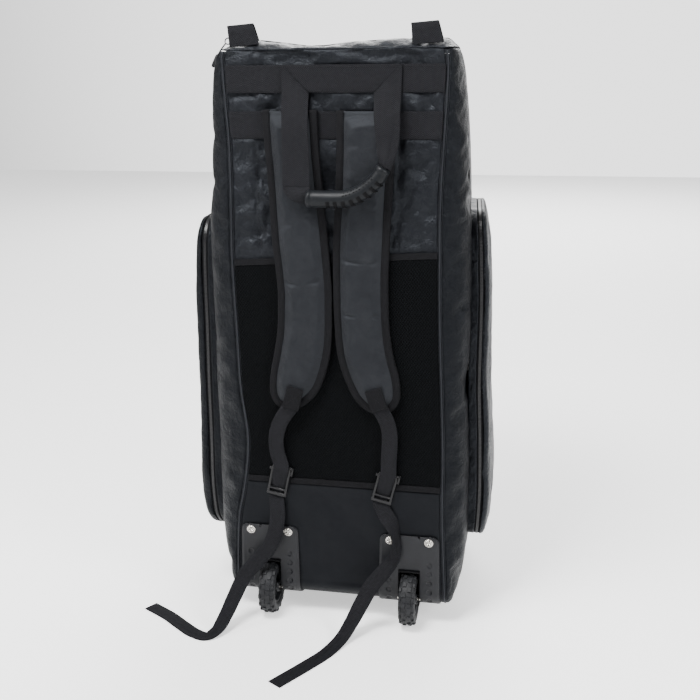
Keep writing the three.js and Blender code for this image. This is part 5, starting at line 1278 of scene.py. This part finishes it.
def make_grip():
    share = np.linspace(0, 1, len(grip_path))
    ends = np.minimum(share, 1 - share)
    lip = 1 - 0.12 * np.exp(-(ends / 0.012) ** 2) + 0.05 * np.exp(-((ends - 0.03) / 0.016) ** 2)
    lip -= 0.05 * np.exp(-((ends - 0.065) / 0.014) ** 2)
    rings = tube(grip_path[:, :3], grip_path[:, 3] * lip * 0.97, 40)
    centre = grip_path[:, None, :3]
    around = rings - centre
    low = np.clip(-around[..., 2] / np.linalg.norm(around, axis=2), 0, 1)
    ribs = np.cos((share - 0.26) / RIB_STEP * 2 * math.pi) * ((share > 0.23) & (share < 0.87))
    rings = centre + around * (1 - 0.06 * np.clip(ribs, 0, 1)[:, None] * fade(low, 0.5))[..., None]
    return solid_from_rings("rubber_grip", [rings], GRIP, ["handle_grip"])


def grip_spot(angle, share, lift):
    """A place on the grip's skin at an angle below its front, and the grip's direction there."""
    at = int(share * (len(grip_path) - 1))
    along = unit(np.gradient(grip_path[:, :3], axis=0)[at])
    down = np.cross(along, (0, 1, 0))
    down *= np.sign(-down[2])
    out = down * math.sin(angle) + np.array([0, -1, 0]) * math.cos(angle)
    return grip_path[at, :3] + out * (grip_path[at, 3] + lift), along


grip = make_grip()
# The cuts and holes are thin dark bodies; their colour is painted shade.
cuts = [[grip_spot(angle, share, -0.35)[0] for angle in np.linspace(0.25, 2.4, 14)]
        for share in 0.26 + RIB_STEP * np.arange(8)]
repeat_along("grip_slots", cuts, 0.8, (1.4, 5.2, 1.0), (1, 0, 0.25), SLOT_SHADE, True)
dots = []
for row in range(2):
    for share in np.linspace(0.44, 0.84, 10) + row * 0.02:
        spot, along = grip_spot(-0.42 - 0.34 * row, share, -0.2)
        dots.append([spot - along * 0.7, spot + along * 0.7])
repeat_along("grip_dots", dots, 1.4, (2.4, 2.0, 1.0), (0, 0, 1), SLOT_SHADE)

# %% [markdown]
# Each side pocket is a low box of fabric with rounded corners: a wall sewn to the side, a zip all
# the way round it and a soft cover. All three are lofted from the same rounded outline, moved in
# by a margin and out by a stand that swells towards the foot of the bag.

# %% Side pockets
NEAR, FAR, POCKET_CORNER, STAND, ZIP_WIDE, OFF_SIDE, COVER_BOW = 55.0, 285.0, 42.0, 40.0, 9.0, 0.9, 5.0
swell = smooth([0, .12, .3, .55, .85, 1], [.86, 1.08, 1.06, 1, .92, .76])
# Columns of a pocket's section: margin, share of the stand, and millimetres more.
WALL_SECTION = [(0.0, s, 0.0) for s in np.linspace(0.01, 0.405, 8)]
COVER_SECTION = [(0, .42, ZIP_WIDE + .6), (0, .47, ZIP_WIDE), (-.2, .62, 3), (-.3, .74, .6), (.2, .83, .2),
                 (2, .92, 0), (5.5, .975, 0), (11, 1, 0.2)]
COVER_SECTION += [(11 + d, 1, COVER_BOW * (1 - (1 - d / 44) ** 2)) for d in np.linspace(4, 34, 9)]
TAPE_SECTION = [(3.2, .42, -5), (2.2, .42, -1.6), (1.0, .42, .6), (0.8, .42, 3), (0.8, .42, 6),
                (1.2, .42, ZIP_WIDE), (2.6, .42, ZIP_WIDE + 2.5), (4.5, .42, ZIP_WIDE + 5)]


def pocket_loop(low, high, margin, corner_steps=12, side_steps=60, end_steps=24):
    radius = max(POCKET_CORNER - margin, 3)
    near, far, bottom, top = NEAR + margin, FAR - margin, low + margin, high - margin
    arc = np.linspace(0, math.pi / 2, corner_steps, endpoint=False)

    def corner(y, z, start):
        return np.stack([y + radius * np.cos(start + arc), z + radius * np.sin(start + arc)], -1)

    def run(a, b, steps):
        return np.linspace(a, b, steps, endpoint=False)
    return np.concatenate([
        corner(far - radius, bottom + radius, -math.pi / 2),
        run((far, bottom + radius), (far, top - radius), side_steps),
        corner(far - radius, top - radius, 0),
        run((far - radius, top), (near + radius, top), end_steps),
        corner(near + radius, top - radius, math.pi / 2),
        run((near, top - radius), (near, bottom + radius), side_steps),
        corner(near + radius, bottom + radius, math.pi),
        run((near + radius, bottom), (far - radius, bottom), end_steps)])


class Pocket:
    def __init__(self, hand, side, low_up, high_up, stand, seed):
        self.hand, self.side, self.seed = hand, side, seed
        self.low, self.high, self.stand = low_up * TOP, high_up * TOP, stand

    def out(self, y, z, share=1.0, more=0.0):
        off = STAND * self.stand * swell((z - self.low) / (self.high - self.low))
        return self.hand * (np.abs(reach_x(self.hand, z, y)) + OFF_SIDE + share * off + more)

    def rings(self, section_rows):
        found = []
        for margin, share, more in section_rows:
            y, z = pocket_loop(self.low, self.high, margin).T
            found.append(np.stack([self.out(y, z, share, more), y, z], -1))
        return np.stack(found)

    def wrinkles(self, rings):
        y, z = rings[..., 1], rings[..., 2]
        soft = 1.7 * ridges(rings, 36, (1, 0.7, 1.7), self.seed)
        soft = soft + 0.8 * ridges(rings, 14, (1, 1, 1.5), self.seed + 2)
        crush = np.exp(-((z - self.low) / 34) ** 2)
        return soft + crush * 2.2 * ridges(np.stack([rings[..., 0], y + z, z], -1), 16, seed=self.seed + 5)

    def crumple(self, rings, calm, room):
        start = np.linspace(0, 1, len(rings))[:, None]
        move = np.clip(self.wrinkles(rings), -3.5, 1.2) * calm * fade(start, room)
        rings[..., 0] += self.hand * move
        inward = unit(np.array([(NEAR + FAR) / 2, (self.low + self.high) / 2]) - rings[..., 1:])
        rings[..., 1:] += inward * np.clip(-move, 0, 3)[..., None] * (rings[..., 1:2] < 120)
        return rings

    def cover(self):
        rings = self.crumple(self.rings(COVER_SECTION), 1.0, 0.3)
        core = rings[-1].mean(0)
        fill = np.stack([core + (rings[-1] - core) * s for s in np.linspace(0.86, 0.002, 10)])
        soft = 1.3 * ridges(fill, 40, (1, .8, 1.8), self.seed) - 1.0
        fill[..., 0] = self.out(fill[..., 1], fill[..., 2], 1.0, COVER_BOW + soft)
        return np.concatenate([rings, fill])

    def sheet(self, name, rings, thickness, paint, node_name):
        grid = np.concatenate([rings, rings[:, :1]], 1)
        sheet_piece(name, grid, thickness, paint, (self.hand, 0, 0), [f"{node_name}_{self.side}"])

    def make(self):
        # The left pocket takes the darker copy of the fabric, painted shade; the right one keeps the lighter copy.
        paint = FABRIC if self.hand > 0 else SHADED_SIDE_FABRIC
        wall = self.crumple(self.rings(WALL_SECTION), 0.5, 0.9)
        self.sheet(f"pocket_wall_cloth_{self.side}", wall, 1.4, paint, "pocket_wall")
        self.sheet(f"pocket_cover_cloth_{self.side}", self.cover(), 1.4, paint, "pocket_cover")
        self.sheet(f"pocket_tape_{self.side}", self.rings(TAPE_SECTION), 0.9, BINDING, "pocket_zip")
        teeth = self.rings([(0.7, .42, ZIP_WIDE / 2)])[0]
        repeat_along(f"pocket_teeth_{self.side}", [teeth], 2.2, (1.3, 4.2, 1.0), (1, 0, 0), TEETH, True,
                     True)


Pocket(-1, "left", 0.124, 0.72, 1.05, 3.0).make()
Pocket(1, "right", 0.142, 0.738, 0.79, 6.0).make()

# %% [markdown]
# The main zip runs up one side, over the top end and down the other. Tape, teeth, slider and a
# cord puller are separate bodies, as on the real one.

# %% Main zip, slider and pull
CUBE = [(x, y, z) for x in (-.5, .5) for y in (-.5, .5) for z in (-.5, .5)]
CUBE_FACES = [(0, 1, 3, 2), (4, 6, 7, 5), (0, 4, 5, 1), (2, 3, 7, 6), (0, 2, 6, 4), (1, 5, 7, 3)]


def zip_line(depth, out):
    heights = np.linspace(700, TOP, 60)
    share = np.linspace(-1, 1, 90)[1:-1]
    left, right = (np.stack([reach_x(hand, heights, depth) + hand * out, np.full(60, depth), heights], -1)
                   for hand in (-1, 1))
    reach = np.where(share < 0, -reach_x(-1, TOP, depth), reach_x(1, TOP, depth))
    over = np.stack([share * reach, np.full(88, depth), top_z(share, np.full(88, depth)) + out], -1)
    return np.concatenate([left, over, right[::-1]])


def rounded_block(name, centre, size, bevel, nodes=(), turn=0.35):
    spin = np.array([[math.cos(turn), 0, math.sin(turn)], [0, 1, 0], [-math.sin(turn), 0, math.cos(turn)]])
    points = np.array(CUBE) * size @ spin.T + centre
    piece = make_piece(name, points, CUBE_FACES, GUNMETAL, nodes, None)
    return soften(outward_faces(piece), bevel, 3)


zip_rows = np.stack([zip_line(d, 0.7 + 0.5 * (d in (50, 66))) for d in (44, 46, 50, 66, 70, 72)])
sheet_piece("zip_tape", zip_rows, 0.9, BINDING, (0, 0, 1), ["main_zip"])
repeat_along("zip_teeth", [zip_line(ZIP_DEPTH, 1.0)], 2.4, (1.4, 5.0, 1.2), (0, 1, 0), TEETH, True)
low, high = (np.array(v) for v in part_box("zip_slider"))
slider_at = ((low + high) / 2 - ORIGIN) * 1000
rounded_block("slider_body", slider_at + (-1.6, 0, -1.0), (12.5, 9, 4.6), 1.2, ["zip_slider"])
rounded_block("slider_bridge", slider_at + (-3.0, 0, 2.6), (8.5, 3.4, 2.6), 1.0)
angle = np.linspace(0, 2 * math.pi, 25)
ring_path = slider_at + np.stack([5.0 * np.cos(angle) - 12.4, 1.6 * np.sin(angle), 4.6 * np.sin(angle) - 0.6], -1)
solid_from_rings("slider_ring", [tube(ring_path, 1.0, 8)], GUNMETAL, [])
# Columns: x, z and radius.
PULL = [(-180, 923, 1.1), (-184, 919, 1.1), (-189, 913, 1.2), (-193.4, 906.5, 1.4),
        (-194.6, 904.5, 2.9), (-198.6, 897, 3.2), (-202.4, 889.5, 2.9), (-203.4, 887.5, 1.6)]
pull_path, _ = path_through([(x, float(slider_at[1]), z, radius) for x, z, radius in PULL], 60)
solid_from_rings("pull_cord", [tube(pull_path[:, :3], pull_path[:, 3])], RUBBER, ["zip_pull"])
print("main zip done")

# %% [markdown]
# Two webbing loops stand on the back edge of the top end, sewn in at both ends. Each is a ribbon
# swept up, over and down again, a little wider at its foot where the seam spreads it.

# %% Top tabs
TAB_WIDE, TAB_SECTION = 39.6, [(-.5, .2), (-.485, .5), (0, .53), (.485, .5), (.5, .2)]
TAB_SECTION += [(-s, -o if abs(o) < .53 else -.47) for s, o in TAB_SECTION]


def make_tab(side, middle, lean):
    low, high = ((np.array(v) - ORIGIN) * 1000 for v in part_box(f"top_tab_{side}"))
    foot, head = low[2], high[2] + 3.0
    route = np.array([(-4.25, foot + 1.0), (-4.25, head - 16), (-4.25, head - 6), (-2.8, head - 1.9),
                      (0, head - .75), (2.8, head - 1.9), (4.25, head - 6), (4.25, head - 14), (4.25, foot + 6)])
    steps = np.r_[0, np.cumsum(np.hypot(*np.diff(route, axis=0).T))]
    y, z = (smooth(steps, route[:, i])(np.linspace(0, steps[-1], 64)) for i in (0, 1))
    path = np.stack([middle * HALF + lean * (z - foot) / 28, 8 + y, z], -1)
    across = np.repeat(np.array([[1.0, 0, -lean / 28 * 0.25]]), 64, 0)
    out = unit(np.cross(np.gradient(path, axis=0), across))
    spread = np.clip((foot + 26 - z) / 26, 0, 1)[:, None]
    rings = np.stack([path + across * (s * (TAB_WIDE + 6 * spread) - 3 * spread) + out * o * STRAP_THICK
                      for s, o in TAB_SECTION], 1)
    return solid_from_rings(f"tab_{side}", [rings], WEBBING, [f"top_tab_{side}"])


tabs = [make_tab("left", -0.8, -9), make_tab("right", 0.84, -8)]
print("tabs", [round(t.dimensions.z, 3) for t in tabs])

# %% [markdown]
# A moulded plate on each side takes the wheel. Its edges are rounded, its corners are round at
# the top, and two rows of dimples run down beside the wheel's slot. The plate is a fine grid whose
# points sink where a dimple is, with the slot left out. Behind it stands the wheel's well.

# %% Wheel plates and wells
PLATE_TOP, PLATE_CORNER, PLATE_FRONT, SLOT_WIDE, DIMPLE_IN, DIMPLE_STEP = 157.0, 10, 3.3, 17.2, 33, 16
WHEEL_Y, WHEEL_Z, WELL_HALF, WELL_RADIUS = 2.0, 45.0, 17.0, 52


def make_plate(hand, side):
    middle, top = hand * SPREAD, HEEL_TOP - PLATE_TOP
    distance = np.concatenate([
        top + PLATE_CORNER * (1 - np.cos(np.linspace(0, math.pi / 2, 8))), np.linspace(top + 11, HEEL_TOP - 97, 34),
        np.linspace(HEEL_TOP - 96, 0, 42)[1:], np.linspace(0, QUARTER, 30)[1:]])
    y, z = heel_profile(distance, PLATE_FRONT)
    rounding = 1 - np.sqrt(np.clip(1 - (1 - (distance - top) / PLATE_CORNER) ** 2, 0, 1))
    reach = 48 - PLATE_CORNER * rounding * (distance < top + PLATE_CORNER) + 3 * (PLATE_TOP - z) / PLATE_TOP
    slot_share = SLOT_WIDE / 50
    share = np.concatenate([np.linspace(-1, -slot_share, 34), np.linspace(-slot_share, slot_share, 14)[1:-1],
                            np.linspace(slot_share, 1, 34)])
    x = middle + share[None] * reach[:, None]
    inside = np.abs(share) <= slot_share + 1e-6
    x[:, inside] = (middle + share[inside] * 50)[None]
    sink = np.zeros_like(x)
    for near in (-DIMPLE_IN, DIMPLE_IN):
        for i in range(5):
            gap = np.hypot(x - middle - near, distance[:, None] - (HEEL_TOP - 108 + DIMPLE_STEP * i))
            sink += 1.3 * (1 - fade(gap - 3.4, 1.4)) - 0.35 * np.exp(-((gap - 5.4) / 0.7) ** 2)
    from_edge = (1 - np.abs(share))[None] * reach[:, None]
    sink += 0.63 * (1 - fade(np.minimum(from_edge, 9) - 0.6, 2.4))
    sink -= 0.25 * np.exp(-((from_edge - 4.5) / 0.8) ** 2)
    angle = np.clip(distance / HEEL, 0, math.pi / 2)[:, None]
    grid = np.stack([x, y[:, None] + sink * np.cos(angle), z[:, None] + sink * np.sin(angle)], -1)
    faces = grid_faces(*x.shape)
    at_x, at_z = middle_of_faces(faces, grid[..., 0], grid[..., 2])
    hole = (np.abs(at_x - middle) < 17.1) & (at_z < 96.4)
    return sheet_piece(f"plate_{side}", grid, 2.4, PLASTIC, (0, -1, 0), [f"wheel_housing_{side}"],
                       faces[~hole])


def make_well(hand, side):
    # The well's roof and cheeks take the near-black well colour, painted shade in the recess.
    middle = hand * SPREAD
    arc = np.linspace(math.radians(101), math.radians(-14), 40)
    y, z = WHEEL_Y + WELL_RADIUS * np.cos(arc), WHEEL_Z + WELL_RADIUS * np.sin(arc)
    y, z = y[z > 31], z[z > 31]
    walls = middle - WELL_HALF, middle + WELL_HALF
    roof = np.stack([np.stack([np.full_like(y, v), y, z], -1) for v in walls], 1)
    sheet_piece(f"well_roof_{side}", roof, 1.6, WELL_SHADE, (0, 1, 1), [])
    for v in walls:
        rows = np.stack([np.stack([np.full_like(y, v), np.minimum(y * s + (1 - s) * -1.5, y), z], -1)
                         for s in np.linspace(0, 1, 8)], 1)
        name = f"well_cheek_{side}_{'in' if v * hand < SPREAD else 'out'}"
        sheet_piece(name, rows, 1.5, WELL_SHADE, (np.sign(v - middle), 0, 0), [])


for hand, side in SIDES:
    make_plate(hand, side)
    make_well(hand, side)
print("plates done")

# %% [markdown]
# Rivets hold the plates. Each is a domed head with a cross pressed into it, on a flat washer rim.
# They are all alike, so one body is turned on a lathe and put at four places by a tree.

# %% Rivets
RIVET_X, RIVET_Z = 31.5, 148.0
RIVET_SECTION = [
    (7.2, 0), (7.3, -.35), (7.1, -.75), (6.2, -.95), (5.5, -.9), (5.2, -1.3), (4.6, -2.0), (4.1, -2.2),
    (3.7, -2.35), (3.0, -2.5), (2.3, -2.6), (1.6, -2.6), (1.0, -2.6), (0.4, -2.6)]
RIVETS, _ = grow_tree("rivets", {"Places": "Geometry", "Head": "Object"}, {"info": "GeometryNodeObjectInfo"},
                      "given.Places>copies.Points given.Head>info.Object info.Geometry>copies.Instance")


def lathe(section_rows, segments, axis):
    angle = np.linspace(0, 2 * math.pi, segments, endpoint=False)
    rings = []
    for radius, along in section_rows:
        parts = [radius * np.cos(angle), radius * np.sin(angle)]
        parts.insert("xy".index(axis), np.full(segments, along))
        rings.append(np.stack(parts, -1))
    return np.stack(rings)


def rivet_head():
    rings = lathe(RIVET_SECTION, 64, "y")
    x, z = rings[..., 0], rings[..., 2]
    cross = np.maximum(np.exp(-x ** 4) * (np.abs(z) < 4.2), np.exp(-z ** 4) * (np.abs(x) < 4.2))
    rings[..., 1] += 1.7 * cross * (np.hypot(x, z) < 4.6)
    mesh = raw_mesh("rivet_head", rings / 1000, capped_faces(*rings.shape[:2]))
    mesh.shade_smooth()
    return outward_faces(add_object("rivet_head", mesh))


def make_rivets():
    places = [(hand * SPREAD + way * RIVET_X, -3.6, RIVET_Z) for hand in (-1, 1) for way in (-1, 1)]
    holder = add_object("rivet_places", raw_mesh("rivet_places", np.array(places) / 1000 + ORIGIN))
    head = rivet_head()
    piece = settle(holder, RIVETS, {"Head": head, "Finish": STEEL}, "rivets")
    bpy.data.objects.remove(head)
    nodes = [f"rivet_{end}" for end in ("left_outer", "left_inner", "right_inner", "right_outer")]
    return finish_piece(piece, BAG, nodes)


print("rivets", len(make_rivets().data.polygons), "faces")

# %% [markdown]
# The tyre is a lathed ring with moulded blocks all round it, in staggered pairs with a plain rib
# in the middle. The blocks repeat round the axle, so a tree puts them on a circle of points and
# turns each one outwards.

# %% Wheels
BLOCKS, made = grow_tree("tread_blocks", {
    "Ring": "Geometry", "Count": "Int", "Radius": "Float", "Row": "Float", "Start": "Float",
    "Block": "Object"}, {
    "circle": "GeometryNodeMeshCircle", "upright": "GeometryNodeTransform", "turn": "GeometryNodeTransform",
    "shift": "ShaderNodeCombineXYZ", "spin": "ShaderNodeCombineXYZ", "place": "GeometryNodeInputPosition",
    "flat": "ShaderNodeVectorMath", "ahead": ALIGN, "info": "GeometryNodeObjectInfo"},
    """given.Count>circle.Vertices given.Radius>circle.Radius circle.Mesh>upright.Geometry
    given.Start>spin.X given.Row>shift.X upright.Geometry>turn.Geometry spin.0>turn.Rotation
    shift.0>turn.Translation place.0>flat.0 flat.0>ahead.Vector given.Block>info.Object
    turn.Geometry>copies.Points info.Geometry>copies.Instance ahead.Rotation>copies.Rotation""")
made["ahead"].axis, made["ahead"].pivot_axis, made["flat"].operation = "Z", "X", "MULTIPLY"
made["flat"].inputs[1].default_value = (0, 1, 1)
made["upright"].inputs["Rotation"].default_value = (0, math.radians(90), 0)

TREAD_COUNT = 16
# Columns: block size, place across the tyre, radius, start as a share of one step.
TREAD_ROWS = (((6.6, 9.4, 4.6), 4.3, 42.4, 0.0), ((6.6, 9.4, 4.6), -4.3, 42.4, 0.5),
              ((4.4, 8.2, 6.4), 10.6, 39.6, 0.5), ((4.4, 8.2, 6.4), -10.6, 39.6, 0.0))
TYRE_HALF = [(27, -11), (27.6, -12), (32, -13.6), (36, -13.5), (38.8, -12.2), (41, -9.6), (42.2, -6), (42.7, -1.8)]
HUB_HALF = [(4.2, -13.5), (9, -13.5), (9.6, -9), (10.5, -5), (20, -4.4), (23, -6), (24, -10.5), (26.2, -11.2),
            (26.4, -10)]


def tread_block(size):
    taper = np.array([(x * (1 - .16 * (z > 0)), y * (1 - .2 * (z > 0)), z) for x, y, z in CUBE]) * size
    block = outward_faces(add_object("tread_block", raw_mesh("tread_block", taper / 1000, CUBE_FACES)))
    return soften(block, 0.5)


def turned_ring(name, half, segments, paint, centre, body, nodes):
    rings = lathe(half + [(radius, -along) for radius, along in half[::-1]], segments, "x")
    closed = np.concatenate([rings, rings[:1]])
    faces = grid_faces(len(closed), segments, True)
    outward_faces(make_piece(name, closed + centre, faces, paint, nodes, None, body), merge=True)


def make_wheel(hand, side):
    centre, body = np.array([hand * SPREAD, WHEEL_Y, WHEEL_Z]), f"wheel_{side}"
    turned_ring(f"tyre_{side}", TYRE_HALF, 96, RUBBER, centre, body, [f"wheel_tyre_{side}"])
    for number, (size, row, radius, start) in enumerate(TREAD_ROWS):
        block = tread_block(size)
        values = {"Count": TREAD_COUNT, "Radius": radius / 1000, "Row": row / 1000,
                  "Start": start * 2 * math.pi / TREAD_COUNT, "Finish": RUBBER, "Block": block}
        holder = add_object("ring", bpy.data.meshes.new("ring"))
        tread = settle(holder, BLOCKS, values, f"tread_{side}_{number}")
        bpy.data.objects.remove(block)
        tread.data.transform(Matrix.Translation(Vector(centre / 1000 + ORIGIN)))
        finish_piece(tread, body, [])
    turned_ring(f"hub_{side}", HUB_HALF, 60, PLASTIC, centre, body, [f"wheel_hub_{side}"])


for hand, side in SIDES:
    make_wheel(hand, side)
print("wheels done")

# %% [markdown]
# The axles and the foot bar have the right shape in the frame already. They only take a finish.

# %% Finishes on the frame's own nodes
kept_nodes = {"wheel_axle_left": STEEL, "wheel_axle_right": STEEL, "foot_bar": PLASTIC}
for name, paint in kept_nodes.items():
    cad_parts[name].data.materials.clear()
    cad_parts[name].data.materials.append(paint)
print("finished frame nodes", len(kept_nodes))

# %% [markdown]
# The bag stands on a pale floor in soft light, as in a studio. One large lamp above and in front
# gives the broad sheen, two fill from the sides, a fourth lights the top from behind and a wide one
# washes the floor beyond the bag. The backdrop is bright behind the bag and dim elsewhere.

# %% Floor and light
# Columns: place, target, size and power.
LAMPS = {
    "above": ((-0.5, -1.0, 2.5), (0, 0, 0.45), 0.8, 140), "left": ((-2.3, -1.3, 1.5), (0, 0, 0.5), 0.9, 58),
    "right": ((2.3, -1.1, 1.6), (0, 0, 0.4), 0.9, 74), "rim": ((0.3, 1.5, 2.6), (0, 0, 0.7), 1.4, 50),
    "wash": ((0, 4.6, 2.8), (0, 4.2, 0), 3.0, 330)}
floor_mesh = raw_mesh("floor", [(-8, -8, 0), (8, -8, 0), (8, 8, 0), (-8, 8, 0)], [(0, 1, 2, 3)])
floor_mesh.materials.append(new_material("floor", (0.75, 0.75, 0.75), 0.8, Emission_Color=(1, 1, 1, 1),
                                         Emission_Strength=0.8))
add_object("floor", floor_mesh)
for name, (place, target, size, power) in LAMPS.items():
    data = bpy.data.lights.new(name, "AREA")
    data.shape, data.size, data.energy = "SQUARE", size, power
    lamp = add_object(name, data)
    lamp.location, lamp.rotation_mode = place, "QUATERNION"
    lamp.rotation_quaternion = (Vector(target) - Vector(place)).to_track_quat("-Z", "Y")
world = bpy.data.worlds.new("studio")
world.use_nodes = True
sky = world.node_tree
place, toward = sky.nodes.new("ShaderNodeTexCoord"), sky.nodes.new("ShaderNodeVectorMath")
toward.operation = "DOT_PRODUCT"
toward.inputs[1].default_value = (0.19, 0.98, 0.05)
shade = sky.nodes.new("ShaderNodeMapRange")
shade.interpolation_type = "SMOOTHSTEP"
for socket, value in (("From Min", 0.55), ("From Max", 0.95), ("To Min", 0.3), ("To Max", 2.4)):
    shade.inputs[socket].default_value = value
sky.links.new(place.outputs["Generated"], toward.inputs[0])
sky.links.new(toward.outputs["Value"], shade.inputs["Value"])
sky.links.new(shade.outputs[0], sky.nodes["Background"].inputs["Strength"])
sky.nodes["Background"].inputs["Color"].default_value = (1, 1, 1, 1)
bpy.context.scene.world = world
print("lights", len(LAMPS))
